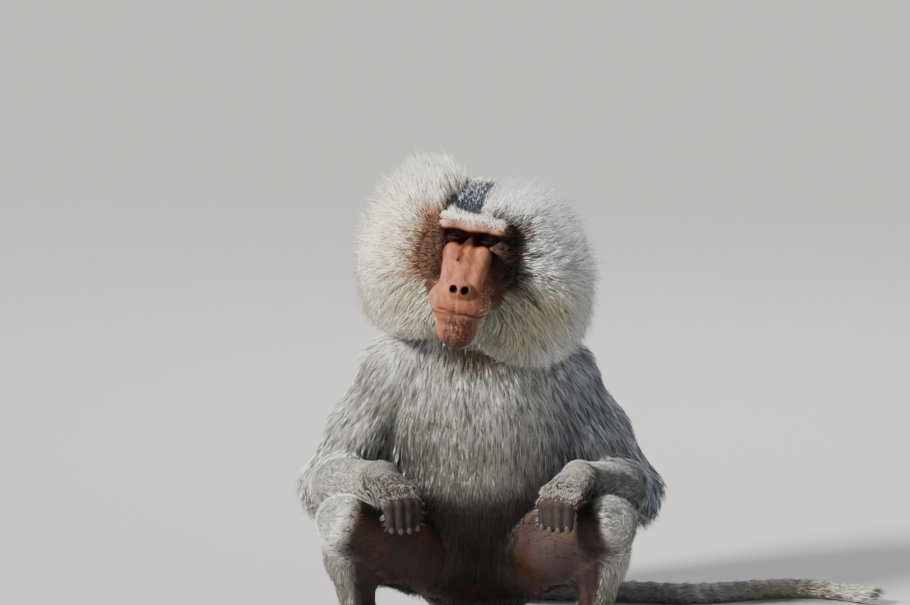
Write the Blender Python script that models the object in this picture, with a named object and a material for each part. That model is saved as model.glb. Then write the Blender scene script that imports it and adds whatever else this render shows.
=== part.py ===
"""A seated adult male hamadryas baboon, life size, as a still display model.

Metres, +Z up. The animal faces -Y, its left side is at +X, and the origin lies on the
floor under the middle of its seat pad. Each piece of flesh is a distance field made of
balls and tapered limbs, meshed on a grid, thinned out, and cut where it meets its
neighbours. Long hair is made of flat, tapered, bending locks joined to the piece they
grow from.
"""
import math
import random

import bmesh
import bpy
import numpy as np

# Driving sizes, in metres
GAP = 0.0003
SEAT_WIDTH = 0.084
HEAD_PLACE = (-0.009, -0.135, 0.610)
HEAD_TURN = math.radians(-6)
HEAD_ROLL = math.radians(8)
EYE_RADIUS = 0.0115
EYE_SPREAD = 0.0235
MANE_PART = 0.046
TAIL_RADIUS = 0.016
LEFT, RIGHT = 1, -1
SIDES = {LEFT: "left", RIGHT: "right"}

# Joints of the limbs, for the animal's left (+X) and right (-X) side
HIP = {LEFT: (0.070, -0.040, 0.105), RIGHT: (-0.070, -0.040, 0.105)}
KNEE = {LEFT: (0.188, -0.215, 0.198), RIGHT: (-0.193, -0.222, 0.202)}
ANKLE = {LEFT: (0.172, -0.118, 0.044), RIGHT: (-0.176, -0.124, 0.044)}
TOES = {LEFT: (0.205, -0.290, 0.012), RIGHT: (-0.205, -0.300, 0.012)}
SHOULDER = {LEFT: (0.122, -0.010, 0.380), RIGHT: (-0.120, -0.015, 0.388)}
ELBOW = {LEFT: (0.238, 0.005, 0.198), RIGHT: (-0.228, 0.000, 0.208)}
WRIST = {LEFT: (0.148, -0.178, 0.258), RIGHT: (-0.144, -0.188, 0.260)}

# The line of the tail, from its root to its tip on the floor
TAIL_LINE = (
    (0.000, 0.046, 0.088),
    (0.012, 0.088, 0.052),
    (0.045, 0.114, 0.020),
    (0.120, 0.106, 0.0152),
    (0.250, 0.090, 0.0152),
    (0.340, 0.080, 0.0152),
    (0.450, 0.110, 0.0152),
    (0.520, 0.112, 0.0152),
    (0.610, 0.068, 0.0152),
)


def unit(vector):
    """The vectors along the last axis, each one long."""
    vector = np.asarray(vector, float)
    return vector / np.maximum(np.linalg.norm(vector, axis=-1, keepdims=True), 1e-12)


def turn_about(axis, angle):
    """The 3x3 matrix of a turn about X, Y or Z."""
    c, s = math.cos(angle), math.sin(angle)
    first, second = {"X": (1, 2), "Y": (2, 0), "Z": (0, 1)}[axis]
    matrix = np.eye(3)
    matrix[first, first] = matrix[second, second] = c
    matrix[first, second] = -s
    matrix[second, first] = s
    return matrix


HEAD_AXES = turn_about("Z", HEAD_TURN) @ turn_about("Y", HEAD_ROLL)


def head_point(x, y, z):
    """A world point from head coordinates: origin between the eyes, -Y forward, in metres."""
    return HEAD_AXES @ np.array((x, y, z), float) + np.array(HEAD_PLACE)


class Form:
    """A closed form: a distance that is negative inside, and the box that holds it."""

    def __init__(self, distance, low, high):
        self.distance = distance
        self.low = np.asarray(low, float)
        self.high = np.asarray(high, float)


def ball(centre, radii, axes=None):
    """An ellipsoid: the distance is k (k - 1) / g, with k and g the scaled radius and its slope."""
    centre = np.asarray(centre, float)
    radii = np.broadcast_to(np.asarray(radii, float), 3)
    axes = np.eye(3) if axes is None else np.asarray(axes, float)

    def distance(points):
        local = (points - centre) @ axes / radii
        k = np.linalg.norm(local, axis=-1)
        slope = np.linalg.norm(local / radii, axis=-1)
        return k * (k - 1) / np.maximum(slope, 1e-9)

    reach = np.abs(axes) @ radii
    return Form(distance, centre - reach, centre + reach)


def limb(points, radii, width=0.01):
    """A chain of round cones through the points, blended where they meet."""
    points = np.asarray(points, float)
    radii = np.broadcast_to(np.asarray(radii, float), len(points))

    def distance(where):
        result = None
        for start, end, thick, thin in zip(points, points[1:], radii, radii[1:]):
            along = end - start
            share = np.clip((where - start) @ along / (along @ along), 0, 1)
            gap = np.linalg.norm(where - start - share[..., None] * along, axis=-1)
            gap = gap - (thick + (thin - thick) * share)
            result = gap if result is None else soft_min(result, gap, width)
        return result

    reach = radii[:, None] + width / 4
    return Form(distance, (points - reach).min(axis=0), (points + reach).max(axis=0))


def soft_min(a, b, width):
    """The smaller of two distances, rounded over a width."""
    share = np.clip(0.5 + 0.5 * (b - a) / width, 0, 1)
    return b + (a - b) * share - width * share * (1 - share)


def merge(width, *forms):
    """Forms flowing into one another over a width."""

    def distance(points):
        result = forms[0].distance(points)
        for form in forms[1:]:
            result = soft_min(result, form.distance(points), width)
        return result

    low = np.min([form.low for form in forms], axis=0) - width / 4
    high = np.max([form.high for form in forms], axis=0) + width / 4
    return Form(distance, low, high)


def carve(form, width, *cutters):
    """A form with others taken out of it, its edges rounded over a width."""

    def distance(points):
        result = form.distance(points)
        for cutter in cutters:
            result = -soft_min(-result, cutter.distance(points), width)
        return result

    return Form(distance, form.low, form.high)


def slope_of(form, points, step=0.0004):
    """The unit slope of a form's distance, which is the outward direction on its surface."""
    offsets = np.eye(3) * step
    slope = [form.distance(points + o) - form.distance(points - o) for o in offsets]
    return unit(np.stack(slope, axis=-1))


def crossed_cells(value):
    """The corners, as flat grid numbers, of the cells whose corners lie on both sides of the surface."""
    counts = np.array(value.shape)
    steps = np.array((counts[1] * counts[2], counts[2], 1))
    inside = (value < 0).astype(np.int8)
    total = np.zeros(counts - 1, np.int8)
    for corner in np.ndindex(2, 2, 2):
        total += inside[tuple(slice(c, n - 1 + c) for c, n in zip(corner, counts))]
    first = np.argwhere((total > 0) & (total < 8)) @ steps
    return first, steps


def net_of(form, cell):
    """The surface where the distance is zero, as triangles.

    Each crossed cell is cut into six tetrahedra along its diagonal. A tetrahedron gives one
    triangle where one corner is on its own side and two where the corners are two and two,
    with their points on its edges where the distance changes sign. The points are then
    evened out among their neighbours and set back on the surface.
    """
    low = form.low - 2.5 * cell
    counts = np.ceil((form.high - low) / cell).astype(int) + 3
    lines = [low[axis] + cell * np.arange(counts[axis]) for axis in range(3)]
    grid = np.stack(np.meshgrid(*lines, indexing="ij"), axis=-1).reshape(-1, 3)
    value = form.distance(grid)
    first, steps = crossed_cells(value.reshape(counts))
    edges, middles = [], []
    for order in ((0, 1, 2), (0, 2, 1), (1, 0, 2), (1, 2, 0), (2, 0, 1), (2, 1, 0)):
        walk = np.concatenate(([0], np.cumsum(steps[list(order)])))
        corners = first[:, None] + walk
        inside = value[corners] < 0
        count = inside.sum(axis=1)
        ranked = np.take_along_axis(corners, np.argsort(~inside, axis=1, kind="stable"), axis=1)
        for wanted, shapes in (
            (1, (((0, 1), (0, 2), (0, 3)),)),
            (2, (((0, 2), (0, 3), (1, 3)), ((0, 2), (1, 3), (1, 2)))),
            (3, (((0, 3), (1, 3), (2, 3)),)),
        ):
            rows = ranked[count == wanted]
            heart = grid[rows[:, :wanted]].mean(axis=1)
            for shape in shapes:
                edges.append(np.stack([rows[:, pair] for pair in shape], axis=1))
                middles.append(heart)
    edges = np.concatenate(edges)
    middles = np.concatenate(middles)
    ends = np.sort(edges.reshape(-1, 2), axis=1)
    unique, number = np.unique(ends, axis=0, return_inverse=True)
    near, far = value[unique[:, 0]], value[unique[:, 1]]
    share = np.clip(near / (near - far), 0.02, 0.98)[:, None]
    points = grid[unique[:, 0]] * (1 - share) + grid[unique[:, 1]] * share
    faces = number.reshape(-1, 3)
    a, b, c = (points[faces[:, k]] for k in range(3))
    turned = np.einsum("ij,ij->i", np.cross(b - a, c - a), (a + b + c) / 3 - middles) < 0
    faces[turned] = faces[turned][:, ::-1]
    return settle(form, even_out(form, points, faces), 2, cell), faces


def even_out(form, points, faces, rounds=3):
    """Moves each point to the middle of its neighbours and back onto the surface, a few times."""
    pairs = np.unique(np.sort(faces[:, [0, 1, 1, 2, 2, 0]].reshape(-1, 2), axis=1), axis=0)
    count = np.zeros(len(points))
    np.add.at(count, pairs.ravel(), 1)
    for _ in range(rounds):
        total = np.zeros_like(points)
        np.add.at(total, pairs[:, 0], points[pairs[:, 1]])
        np.add.at(total, pairs[:, 1], points[pairs[:, 0]])
        points = points * 0.4 + total / count[:, None] * 0.6
        points = settle(form, points, 1)
    return points


def settle(form, points, rounds=3, reach=0.01):
    """Moves points along the slope onto the surface."""
    for _ in range(rounds):
        shift = np.clip(form.distance(points), -reach, reach)
        points = points - shift[:, None] * slope_of(form, points)
    return points


def place_mesh(name, points, faces):
    """A new object in the scene from points and faces."""
    mesh = bpy.data.meshes.new(name)
    mesh.from_pydata(np.asarray(points).tolist(), [], [tuple(f) for f in np.asarray(faces).tolist()])
    mesh.update()
    thing = bpy.data.objects.new(name, mesh)
    bpy.context.scene.collection.objects.link(thing)
    return thing


def apply_modifiers(thing):
    """Turns what an object's modifiers make into its own mesh."""
    bpy.context.view_layer.update()
    graph = bpy.context.evaluated_depsgraph_get()
    mesh = bpy.data.meshes.new_from_object(thing.evaluated_get(graph))
    thing.modifiers.clear()
    thing.data = mesh


# How much more error, against its length, thinning takes on an edge that is to stay fine
THINNING_CARE = 3e-5


def thin_out(thing, triangles, plain=None):
    """Thins a mesh to about the given number of triangles, keeping it closed.

    plain, where given, says how readily each point is thinned out, from 0 to 1.
    """
    count = len(thing.data.polygons)
    if count <= triangles:
        return
    changer = thing.modifiers.new("thin", "DECIMATE")
    changer.ratio = triangles / count
    changer.use_collapse_triangulate = True
    if plain is not None:
        group = thing.vertex_groups.new(name="plain")
        places = np.empty(len(thing.data.vertices) * 3)
        thing.data.vertices.foreach_get("co", places)
        for number, weight in enumerate(plain(places.reshape(-1, 3)).tolist()):
            group.add((number,), weight, "REPLACE")
        changer.vertex_group = "plain"
        changer.vertex_group_factor = THINNING_CARE
    apply_modifiers(thing)
    thing.vertex_groups.clear()


def flesh(name, form, cell, triangles, plain=None):
    """One object from a form."""
    thing = place_mesh(name, *net_of(form, cell))
    thin_out(thing, triangles, plain)
    return thing


def boolean(thing, others, operation, solver="EXACT"):
    """Joins a collection of closed objects to one, or cuts them from it, and removes them."""
    group = bpy.data.collections.new("working")
    bpy.context.scene.collection.children.link(group)
    for other in others:
        bpy.context.scene.collection.objects.unlink(other)
        group.objects.link(other)
    changer = thing.modifiers.new("joined", "BOOLEAN")
    changer.operation = operation
    changer.operand_type = "COLLECTION"
    changer.collection = group
    changer.solver = solver
    apply_modifiers(thing)
    for other in others:
        bpy.data.objects.remove(other)
    bpy.data.collections.remove(group)


def keep_largest(thing):
    """Keeps the closed surface with the most faces, and drops the rest."""
    work = bmesh.new()
    work.from_mesh(thing.data)
    bmesh.ops.triangulate(work, faces=work.faces)
    unseen = set(work.verts)
    shells = []
    while unseen:
        shell = {unseen.pop()}
        front = list(shell)
        while front:
            vertex = front.pop()
            for edge in vertex.link_edges:
                other = edge.other_vert(vertex)
                if other in unseen:
                    unseen.remove(other)
                    shell.add(other)
                    front.append(other)
        shells.append(shell)
    shells.sort(key=len)
    loose = [vertex for shell in shells[:-1] for vertex in shell]
    bmesh.ops.delete(work, geom=loose, context="VERTS")
    work.to_mesh(thing.data)
    work.free()


def swollen(thing, by=GAP * 1.5):
    """A copy of an object, its faces moved outwards by the same amount on each side of an edge."""
    copy = bpy.data.objects.new("cutter", thing.data.copy())
    bpy.context.scene.collection.objects.link(copy)
    mesh = copy.data
    places = np.empty(len(mesh.vertices) * 3)
    mesh.vertices.foreach_get("co", places)
    places = places.reshape(-1, 3)
    faces = np.empty(len(mesh.loops), int)
    mesh.loops.foreach_get("vertex_index", faces)
    a, b, c = (places[faces[k::3]] for k in range(3))
    normals = np.repeat(unit(np.cross(b - a, c - a)), 3, axis=0)
    planes = np.zeros((len(places), 3, 3))
    np.add.at(planes, faces, normals[:, :, None] * normals[:, None])
    wanted = np.zeros_like(places)
    np.add.at(wanted, faces, normals * by)
    shift = np.linalg.solve(planes + 0.02 * np.eye(3), wanted[..., None])[..., 0]
    length = np.linalg.norm(shift, axis=1, keepdims=True)
    shift *= np.minimum(1, 4 * by / np.maximum(length, 1e-9))
    mesh.vertices.foreach_set("co", (places + shift).ravel())
    mesh.update()
    return copy


def cut_clear(thing, *neighbours, solver="EXACT"):
    """Cuts an object so that it meets its neighbours face to face, a hair apart."""
    for neighbour in neighbours:
        boolean(thing, [swollen(neighbour)], "DIFFERENCE", solver)
    keep_largest(thing)


def slab(point, direction, size=0.6):
    """A block whose face passes through a point, with its body on the side of the direction."""
    direction = unit(direction)
    aside = unit(np.cross(direction, (0.31, 0.52, 0.79)))
    third = np.cross(direction, aside)
    corners = []
    for depth in (0.0, size):
        for a, b in ((-1, -1), (1, -1), (1, 1), (-1, 1)):
            corners.append(np.asarray(point) + direction * depth + (aside * a + third * b) * size)
    faces = ((3, 2, 1, 0), (4, 5, 6, 7), (0, 1, 5, 4), (1, 2, 6, 5), (2, 3, 7, 6), (3, 0, 4, 7))
    return place_mesh("slab", corners, faces)


def cut_flat(thing, point, direction, solver="EXACT"):
    """Takes away what lies beyond a plane, in the given direction, and half the gap with it."""
    direction = unit(direction)
    boolean(thing, [slab(np.asarray(point) - direction * GAP / 2, direction)], "DIFFERENCE", solver)
    keep_largest(thing)


def part_at(near, far, point, direction):
    """Parts two overlapping pieces at a plane: the first keeps the near side, the second the far side."""
    cut_flat(near, point, direction)
    cut_flat(far, point, -unit(direction))


def colour(thing, red, green, blue, roughness=0.8):
    """Gives an object its own plain material."""
    material = bpy.data.materials.new(thing.name)
    material.use_nodes = True
    shader = material.node_tree.nodes["Principled BSDF"]
    shader.inputs["Base Color"].default_value = (red, green, blue, 1)
    shader.inputs["Roughness"].default_value = roughness
    shader.inputs["Metallic"].default_value = 0.0
    thing.data.materials.clear()
    thing.data.materials.append(material)


# Share of a lock's width and thickness at each row of points along it; the tip is one point
LOCK_ROWS = (0.0, 0.36, 0.74)
LOCK_WIDTH = (0.72, 1.0, 0.74)
LOCK_THICK = (1.0, 0.95, 0.65)


def lock_mesh(root, start, finish, outward, length, width, thick):
    """The points and faces of one flat, tapered, bending lock.

    Its line leaves the root along the start direction and turns evenly to the finish
    direction. Its section is a low roof with its ridge outwards, widest a third of the way out.
    """
    start, finish = unit(start), unit(finish)
    place = np.asarray(root, float)
    points, walked = [], 0.0
    for share in LOCK_ROWS + (1.0,):
        middle = (walked + share) / 2
        place = place + unit(start * (1 - middle) + finish * middle) * length * (share - walked)
        walked = share
        if share == 1.0:
            points.append(place)
            break
        along = unit(start * (1 - share) + finish * share)
        aside = unit(np.cross(along, outward))
        lift = np.cross(aside, along)
        half = width / 2 * np.interp(share, LOCK_ROWS, LOCK_WIDTH)
        deep = thick / 2 * np.interp(share, LOCK_ROWS, LOCK_THICK)
        points += [place + aside * half - lift * deep, place + lift * deep, place - aside * half - lift * deep]
    faces = [(0, 1, 2)]
    for row in range(len(LOCK_ROWS) - 1):
        for side in range(3):
            a, b = 3 * row + side, 3 * row + (side + 1) % 3
            faces += [(a, a + 3, b + 3), (a, b + 3, b)]
    base = 3 * (len(LOCK_ROWS) - 1)
    tip = base + 3
    faces += [(base + side, tip, base + (side + 1) % 3) for side in range(3)]
    return np.array(points), faces


def grow(thing, locks, solver="MANIFOLD"):
    """Joins locks to the piece that they grow from."""
    made = [place_mesh("lock", *lock_mesh(*lock)) for lock in locks]
    for one in made:
        work = bmesh.new()
        work.from_mesh(one.data)
        bmesh.ops.recalc_face_normals(work, faces=work.faces)
        work.to_mesh(one.data)
        work.free()
    boolean(thing, made, "UNION", solver)
    keep_largest(thing)


# Colours, linear
COAT = (0.42, 0.41, 0.38)
MANE = (0.72, 0.70, 0.64)
LIMB_COAT = (0.30, 0.28, 0.25)
FACE = (0.52, 0.24, 0.17)
HAND_SKIN = (0.16, 0.10, 0.08)
PAD_SKIN = (0.45, 0.20, 0.18)
EYE = (0.10, 0.04, 0.015)


def head_ball(x, y, z, radii, axes=None):
    """An ellipsoid in head coordinates."""
    axes = HEAD_AXES if axes is None else HEAD_AXES @ axes
    return ball(head_point(x, y, z), radii, axes)


def head_limb(points, radii, width=0.008):
    """A limb in head coordinates."""
    return limb([head_point(*p) for p in points], radii, width)


def both(make):
    """The forms that a function makes for the left and for the right side."""
    return [make(side) for side in (LEFT, RIGHT)]


def skull_form():
    """Braincase, brow, cheeks and the long square muzzle with its two ridges."""
    case = head_ball(0, 0.062, 0.012, (0.050, 0.062, 0.050))
    forehead = head_ball(0, 0.022, 0.014, (0.046, 0.034, 0.028))
    temple = both(lambda s: head_ball(0.040 * s, 0.028, 0.0, (0.020, 0.036, 0.030)))
    cheek = both(lambda s: head_ball(0.044 * s, 0.006, -0.036, (0.020, 0.034, 0.034)))
    jaw_angle = both(lambda s: head_ball(0.034 * s, 0.020, -0.080, (0.020, 0.036, 0.036)))
    upper = head_ball(0, -0.038, -0.054, (0.034, 0.062, 0.038))
    ridge = both(lambda s: head_limb(
        ((0.021 * s, -0.012, -0.012), (0.022 * s, -0.040, -0.025), (0.018 * s, -0.098, -0.057)),
        (0.011, 0.0125, 0.011)))
    bridge = head_limb(((0, -0.010, 0.002), (0, -0.050, -0.029), (0, -0.108, -0.060)), (0.009, 0.010, 0.010))
    front = head_ball(0, -0.088, -0.079, (0.043, 0.033, 0.030))
    pad = both(lambda s: head_ball(0.022 * s, -0.094, -0.084, (0.022, 0.024, 0.023)))
    nose = head_ball(0, -0.116, -0.064, (0.016, 0.013, 0.012))
    under = head_ball(0, -0.044, -0.108, (0.037, 0.056, 0.033))
    chin = head_ball(0, -0.086, -0.120, (0.033, 0.027, 0.031))
    lip = head_ball(0, -0.100, -0.103, (0.031, 0.016, 0.011))
    throat = head_ball(0, 0.020, -0.070, (0.040, 0.050, 0.045))
    return merge(0.012, case, forehead, *temple, *cheek, *jaw_angle, upper, *ridge, bridge,
                 front, *pad, nose, under, chin, lip, throat)


# Points near the closed mouth's line, in head coordinates; they are set on the muzzle's surface
MOUTH_LINE = (
    (-0.034, -0.040, -0.078), (-0.042, -0.062, -0.085), (-0.042, -0.086, -0.091), (-0.032, -0.106, -0.095),
    (-0.016, -0.120, -0.098), (0, -0.124, -0.099), (0.016, -0.120, -0.098), (0.032, -0.106, -0.095),
    (0.042, -0.086, -0.091), (0.042, -0.062, -0.085), (0.034, -0.040, -0.078),
)


def head_form():
    """The skull with brow, eye hollows, lids, nostrils and the line of the mouth."""
    brow = head_limb(
        ((-0.053, 0.004, 0.010), (-0.037, -0.011, 0.017), (0, -0.014, 0.019), (0.037, -0.011, 0.017),
         (0.053, 0.004, 0.010)), (0.0085, 0.0105, 0.0105, 0.0105, 0.0085))
    base = merge(0.008, skull_form(), brow)
    hollow = both(lambda s: head_ball(EYE_SPREAD * s, -0.015, -0.001, (0.017, 0.013, 0.0105)))
    base = carve(base, 0.006, *hollow)
    lids = both(lambda s: head_ball(EYE_SPREAD * s, 0, 0, (EYE_RADIUS + 0.0022,) * 3))
    base = merge(0.002, base, *lids)
    slit = both(lambda s: head_ball(EYE_SPREAD * s, -0.014, -0.0005, (0.0105, 0.010, 0.0042)))
    nostril = both(lambda s: head_limb(
        ((0.0072 * s, -0.134, -0.064), (0.0070 * s, -0.118, -0.062)), (0.0048, 0.0035)))
    groove = head_limb(((0, -0.126, -0.080), (0, -0.118, -0.094)), 0.0016)
    line = [head_point(x, y, z) for x, y, z in MOUTH_LINE]
    mouth = limb(settle(base, np.array(line), 8, 0.01), 0.0030, 0.002)
    return carve(base, 0.0015, *slit, *nostril, groove, mouth)


def off_features(points):
    """How far each point lies from eyes and nostrils, from near 0 there to 1 on the back of the skull."""
    spots = [head_point(EYE_SPREAD * s, -0.012, 0) for s in (LEFT, RIGHT)] + [head_point(0, -0.125, -0.066)]
    near = np.min([np.linalg.norm(points - spot, axis=1) for spot in spots], axis=0)
    depth = (points - np.array(HEAD_PLACE)) @ HEAD_AXES[:, 1]
    return np.clip(np.maximum((near - 0.012) / 0.10, depth / 0.040), 0.02, 1)


def make_eye(side):
    """An eyeball."""
    centre = head_point(EYE_SPREAD * side, 0, 0)
    work = bmesh.new()
    bmesh.ops.create_uvsphere(work, u_segments=10, v_segments=6, radius=EYE_RADIUS)
    bmesh.ops.triangulate(work, faces=work.faces)
    mesh = bpy.data.meshes.new("eye_" + SIDES[side])
    work.to_mesh(mesh)
    work.free()
    thing = bpy.data.objects.new("eye_" + SIDES[side], mesh)
    bpy.context.scene.collection.objects.link(thing)
    thing.location = centre.tolist()
    bpy.context.view_layer.update()
    mesh.transform(thing.matrix_world)
    thing.location = (0, 0, 0)
    colour(thing, *EYE, roughness=0.1)
    return thing


def cut_beside(thing, side, keep_inner):
    """Cuts hair at the flat where a cheek ruff meets crown and neck, and keeps its inner or outer part."""
    direction = HEAD_AXES @ np.array((side, 0, 0.15)) * (1 if keep_inner else -1)
    cut_flat(thing, head_point(MANE_PART * side, 0, -0.020), direction, "MANIFOLD")


def make_ear(side, head):
    """An ear: a rounded leaf with a hollow cup, open to the side and front."""
    tilt = turn_about("Z", math.radians(30 * side)) @ turn_about("Y", math.radians(-8 * side))
    shell = head_ball(0.066 * side, 0.062, -0.010, (0.011, 0.022, 0.029), tilt)
    root = head_ball(0.054 * side, 0.056, -0.014, (0.016, 0.015, 0.019), tilt)
    cup = head_ball(0.078 * side, 0.060, -0.008, (0.009, 0.014, 0.020), tilt)
    form = carve(merge(0.008, shell, root), 0.002, cup)
    thing = flesh("ear_" + SIDES[side], form, 0.0025, 120)
    cut_clear(thing, head)
    colour(thing, *FACE)
    return thing


def trunk_form():
    """Pelvis, belly, rib cage, shoulders and neck in one flow."""
    pelvis = ball((0, -0.006, 0.102), (0.088, 0.064, 0.084))
    rump = [ball((0.042 * s, 0.010, 0.064), (0.048, 0.050, 0.052)) for s in (LEFT, RIGHT)]
    belly = ball((0, -0.034, 0.205), (0.108, 0.084, 0.100))
    chest = ball((0, -0.030, 0.320), (0.124, 0.092, 0.108))
    back = ball((0, 0.020, 0.345), (0.100, 0.062, 0.115))
    girdle = limb((SHOULDER[RIGHT], (0, -0.005, 0.405), SHOULDER[LEFT]), (0.046, 0.052, 0.046), 0.02)
    neck = limb(((0, 0.000, 0.410), (-0.004, -0.030, 0.480), (-0.010, -0.068, 0.560)),
                (0.074, 0.062, 0.056), 0.02)
    return merge(0.03, pelvis, *rump, belly, chest, back, girdle, neck)


def make_trunk():
    """Pelvis, torso and neck, parted at the waist and at the base of the neck."""
    form = trunk_form()
    pelvis = flesh("pelvis", form, 0.009, 480)
    torso = flesh("torso", form, 0.009, 480)
    neck = flesh("neck", form, 0.009, 480)
    part_at(torso, neck, (0, -0.01, 0.455), (0, -0.35, 1))
    part_at(pelvis, torso, (0, 0, 0.165), (0, -0.15, 1))
    colour(pelvis, *LIMB_COAT)
    colour(torso, *COAT)
    colour(neck, *COAT)
    return pelvis, torso, neck


def make_seat_pad(pelvis):
    """The bare horny pad that the animal sits on, one piece across the middle in a male."""
    form = merge(0.008, *[ball((0.022 * s, 0.004, 0.014), (SEAT_WIDTH / 2 - 0.010, 0.032, 0.022))
                          for s in (LEFT, RIGHT)])
    thing = flesh("seat_pad", form, 0.005, 70)
    cut_flat_floor(thing)
    cut_clear(thing, pelvis)
    colour(thing, *PAD_SKIN)
    return thing


def cut_flat_floor(thing):
    """Cuts off what would reach below the floor, and leaves a flat there."""
    boolean(thing, [slab((0, 0, 0), (0, 0, -1))], "DIFFERENCE")
    keep_largest(thing)


def mix(a, b, share):
    """The point at a share of the way from a to b."""
    return np.asarray(a, float) * (1 - share) + np.asarray(b, float) * share


def make_leg(side, pelvis, torso, seat_pad):
    """Thigh, shin and foot, parted at the knee and above the ankle."""
    name = SIDES[side]
    hip, knee, ankle = (np.array(p[side]) for p in (HIP, KNEE, ANKLE))
    thigh_form = limb((hip, mix(hip, knee, 0.5) + (0, 0, -0.004), knee), (0.062, 0.056, 0.036), 0.02)
    calf_middle = mix(knee, ankle, 0.40) + np.array((0, 0.010, 0))
    shin_form = limb((knee, calf_middle, ankle), (0.036, 0.036, 0.025), 0.02)
    thigh = flesh("thigh_" + name, thigh_form, 0.008, 110)
    shin = flesh("shin_" + name, shin_form, 0.007, 100)
    across = unit(unit(ankle - knee) - unit(hip - knee))
    part_at(thigh, shin, knee, across)
    cut_clear(shin, thigh)
    cut_clear(thigh, pelvis, torso, seat_pad)
    foot = make_foot(side)
    cut_flat(foot, ankle + np.array((0, 0, 0.004)), (0, 0, 1))
    cut_flat(shin, ankle + np.array((0, 0, 0.004)), (0, 0, -1))
    cut_clear(foot, thigh)
    colour(thigh, *LIMB_COAT)
    colour(shin, *COAT)
    colour(foot, *HAND_SKIN)
    return thigh, shin, foot


def make_foot(side):
    """A long foot flat on the floor, four toes forward and the big toe splayed inwards."""
    ankle, toes = np.array(ANKLE[side]), np.array(TOES[side])
    forward = unit((toes - ankle) * (1, 1, 0))
    inward = unit(np.cross(forward, (0, 0, 1))) * side
    if inward[0] * side > 0:
        inward = -inward
    heel = ankle - forward * 0.020 + np.array((0, 0, 0.020 - ankle[2]))
    ball_of_foot = ankle + forward * 0.112 + np.array((0, 0, 0.016 - ankle[2]))
    sole = [
        limb((ankle, heel), (0.024, 0.021)),
        limb((ankle, mix(ankle, ball_of_foot, 0.5) + (0, 0, 0.004)), (0.024, 0.021)),
    ]
    for place in (-0.018, -0.006, 0.006, 0.018):
        knuckle = ball_of_foot + inward * place
        sole.append(limb((mix(ankle, ball_of_foot, 0.4) + inward * place * 0.5, knuckle), (0.018, 0.013)))
        reach = 0.056 - abs(place + 0.004) * 0.5
        spread = inward * place * 0.45
        middle = knuckle + forward * reach * 0.5 + spread * 0.5 + np.array((0, 0, 0.003))
        tip = knuckle + forward * reach + spread + np.array((0, 0, -0.0085))
        sole.append(limb((knuckle, middle, tip), (0.0115, 0.0090, 0.0078), 0.004))
    thumb_root = ankle + forward * 0.050 + inward * 0.020 + np.array((0, 0, 0.018 - ankle[2]))
    thumb_tip = thumb_root + forward * 0.040 + inward * 0.026 + np.array((0, 0, -0.008))
    sole.append(limb((thumb_root, thumb_tip), (0.014, 0.0090)))
    form = merge(0.005, *sole)
    thing = flesh("foot_" + SIDES[side], form, 0.003, 340)
    cut_flat_floor(thing)
    return thing


def make_arm(side, torso, pelvis, thigh, shin, chance):
    """Upper arm, forearm and hand, parted at the elbow and the wrist."""
    name = SIDES[side]
    shoulder, elbow, wrist = (np.array(p[side]) for p in (SHOULDER, ELBOW, WRIST))
    upper_form = limb((shoulder, mix(shoulder, elbow, 0.5), elbow), (0.048, 0.044, 0.036), 0.02)
    fore_form = limb((elbow, mix(elbow, wrist, 0.3), wrist), (0.036, 0.037, 0.024), 0.02)
    upper = flesh("upper_arm_" + name, upper_form, 0.008, 120)
    fore = flesh("forearm_" + name, fore_form, 0.007, 130)
    across = unit(unit(wrist - elbow) - unit(shoulder - elbow))
    part_at(upper, fore, elbow, across)
    hand = make_hand(side)
    along = unit(wrist - elbow)
    part_at(fore, hand, wrist - along * 0.006, along)
    grow_arm(upper, fore, side, chance)
    cut_clear(hand, thigh, shin)
    cut_clear(fore, thigh, shin, torso, solver="MANIFOLD")
    cut_clear(upper, torso, fore, thigh, solver="MANIFOLD")
    colour(upper, *COAT)
    colour(fore, *LIMB_COAT)
    colour(hand, *HAND_SKIN)
    return upper, fore, hand


def make_hand(side):
    """A hand laid over the knee, its fingers hanging down in front."""
    wrist = np.array(WRIST[side])
    elbow = np.array(ELBOW[side])
    forward = unit((wrist - elbow) * (1, 1, 0))
    forward = unit(forward + np.array((-0.10 * side, -0.35, 0)))
    inward = unit(np.cross(forward, (0, 0, 1)))
    if inward[0] * side > 0:
        inward = -inward
    knuckles = wrist + forward * 0.066 + np.array((0, 0, -0.004))
    parts = [limb((wrist - unit(wrist - elbow) * 0.02, wrist, mix(wrist, knuckles, 0.5)), (0.024, 0.023, 0.019))]
    for place in (-0.0195, -0.0065, 0.0065, 0.0195):
        knuckle = knuckles + inward * place + np.array((0, 0, -0.2 * abs(place)))
        parts.append(limb((mix(wrist, knuckles, 0.3) + inward * place * 0.6, knuckle), (0.015, 0.0115)))
        reach = 0.034 - abs(place) * 0.25
        joint = knuckle + forward * reach * 0.85 + np.array((0, 0, -reach * 0.42))
        tip = joint + forward * 0.004 + np.array((0, 0, -reach * 1.05))
        parts.append(limb((knuckle, joint, tip), (0.0105, 0.0090, 0.0072), 0.004))
    thumb_root = mix(wrist, knuckles, 0.35) + inward * 0.018 + np.array((0, 0, -0.006))
    thumb_tip = thumb_root + forward * 0.026 + inward * 0.008 + np.array((0, 0, -0.020))
    parts.append(limb((thumb_root, thumb_tip), (0.0115, 0.0075)))
    return flesh("hand_" + SIDES[side], merge(0.004, *parts), 0.0028, 400)


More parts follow.
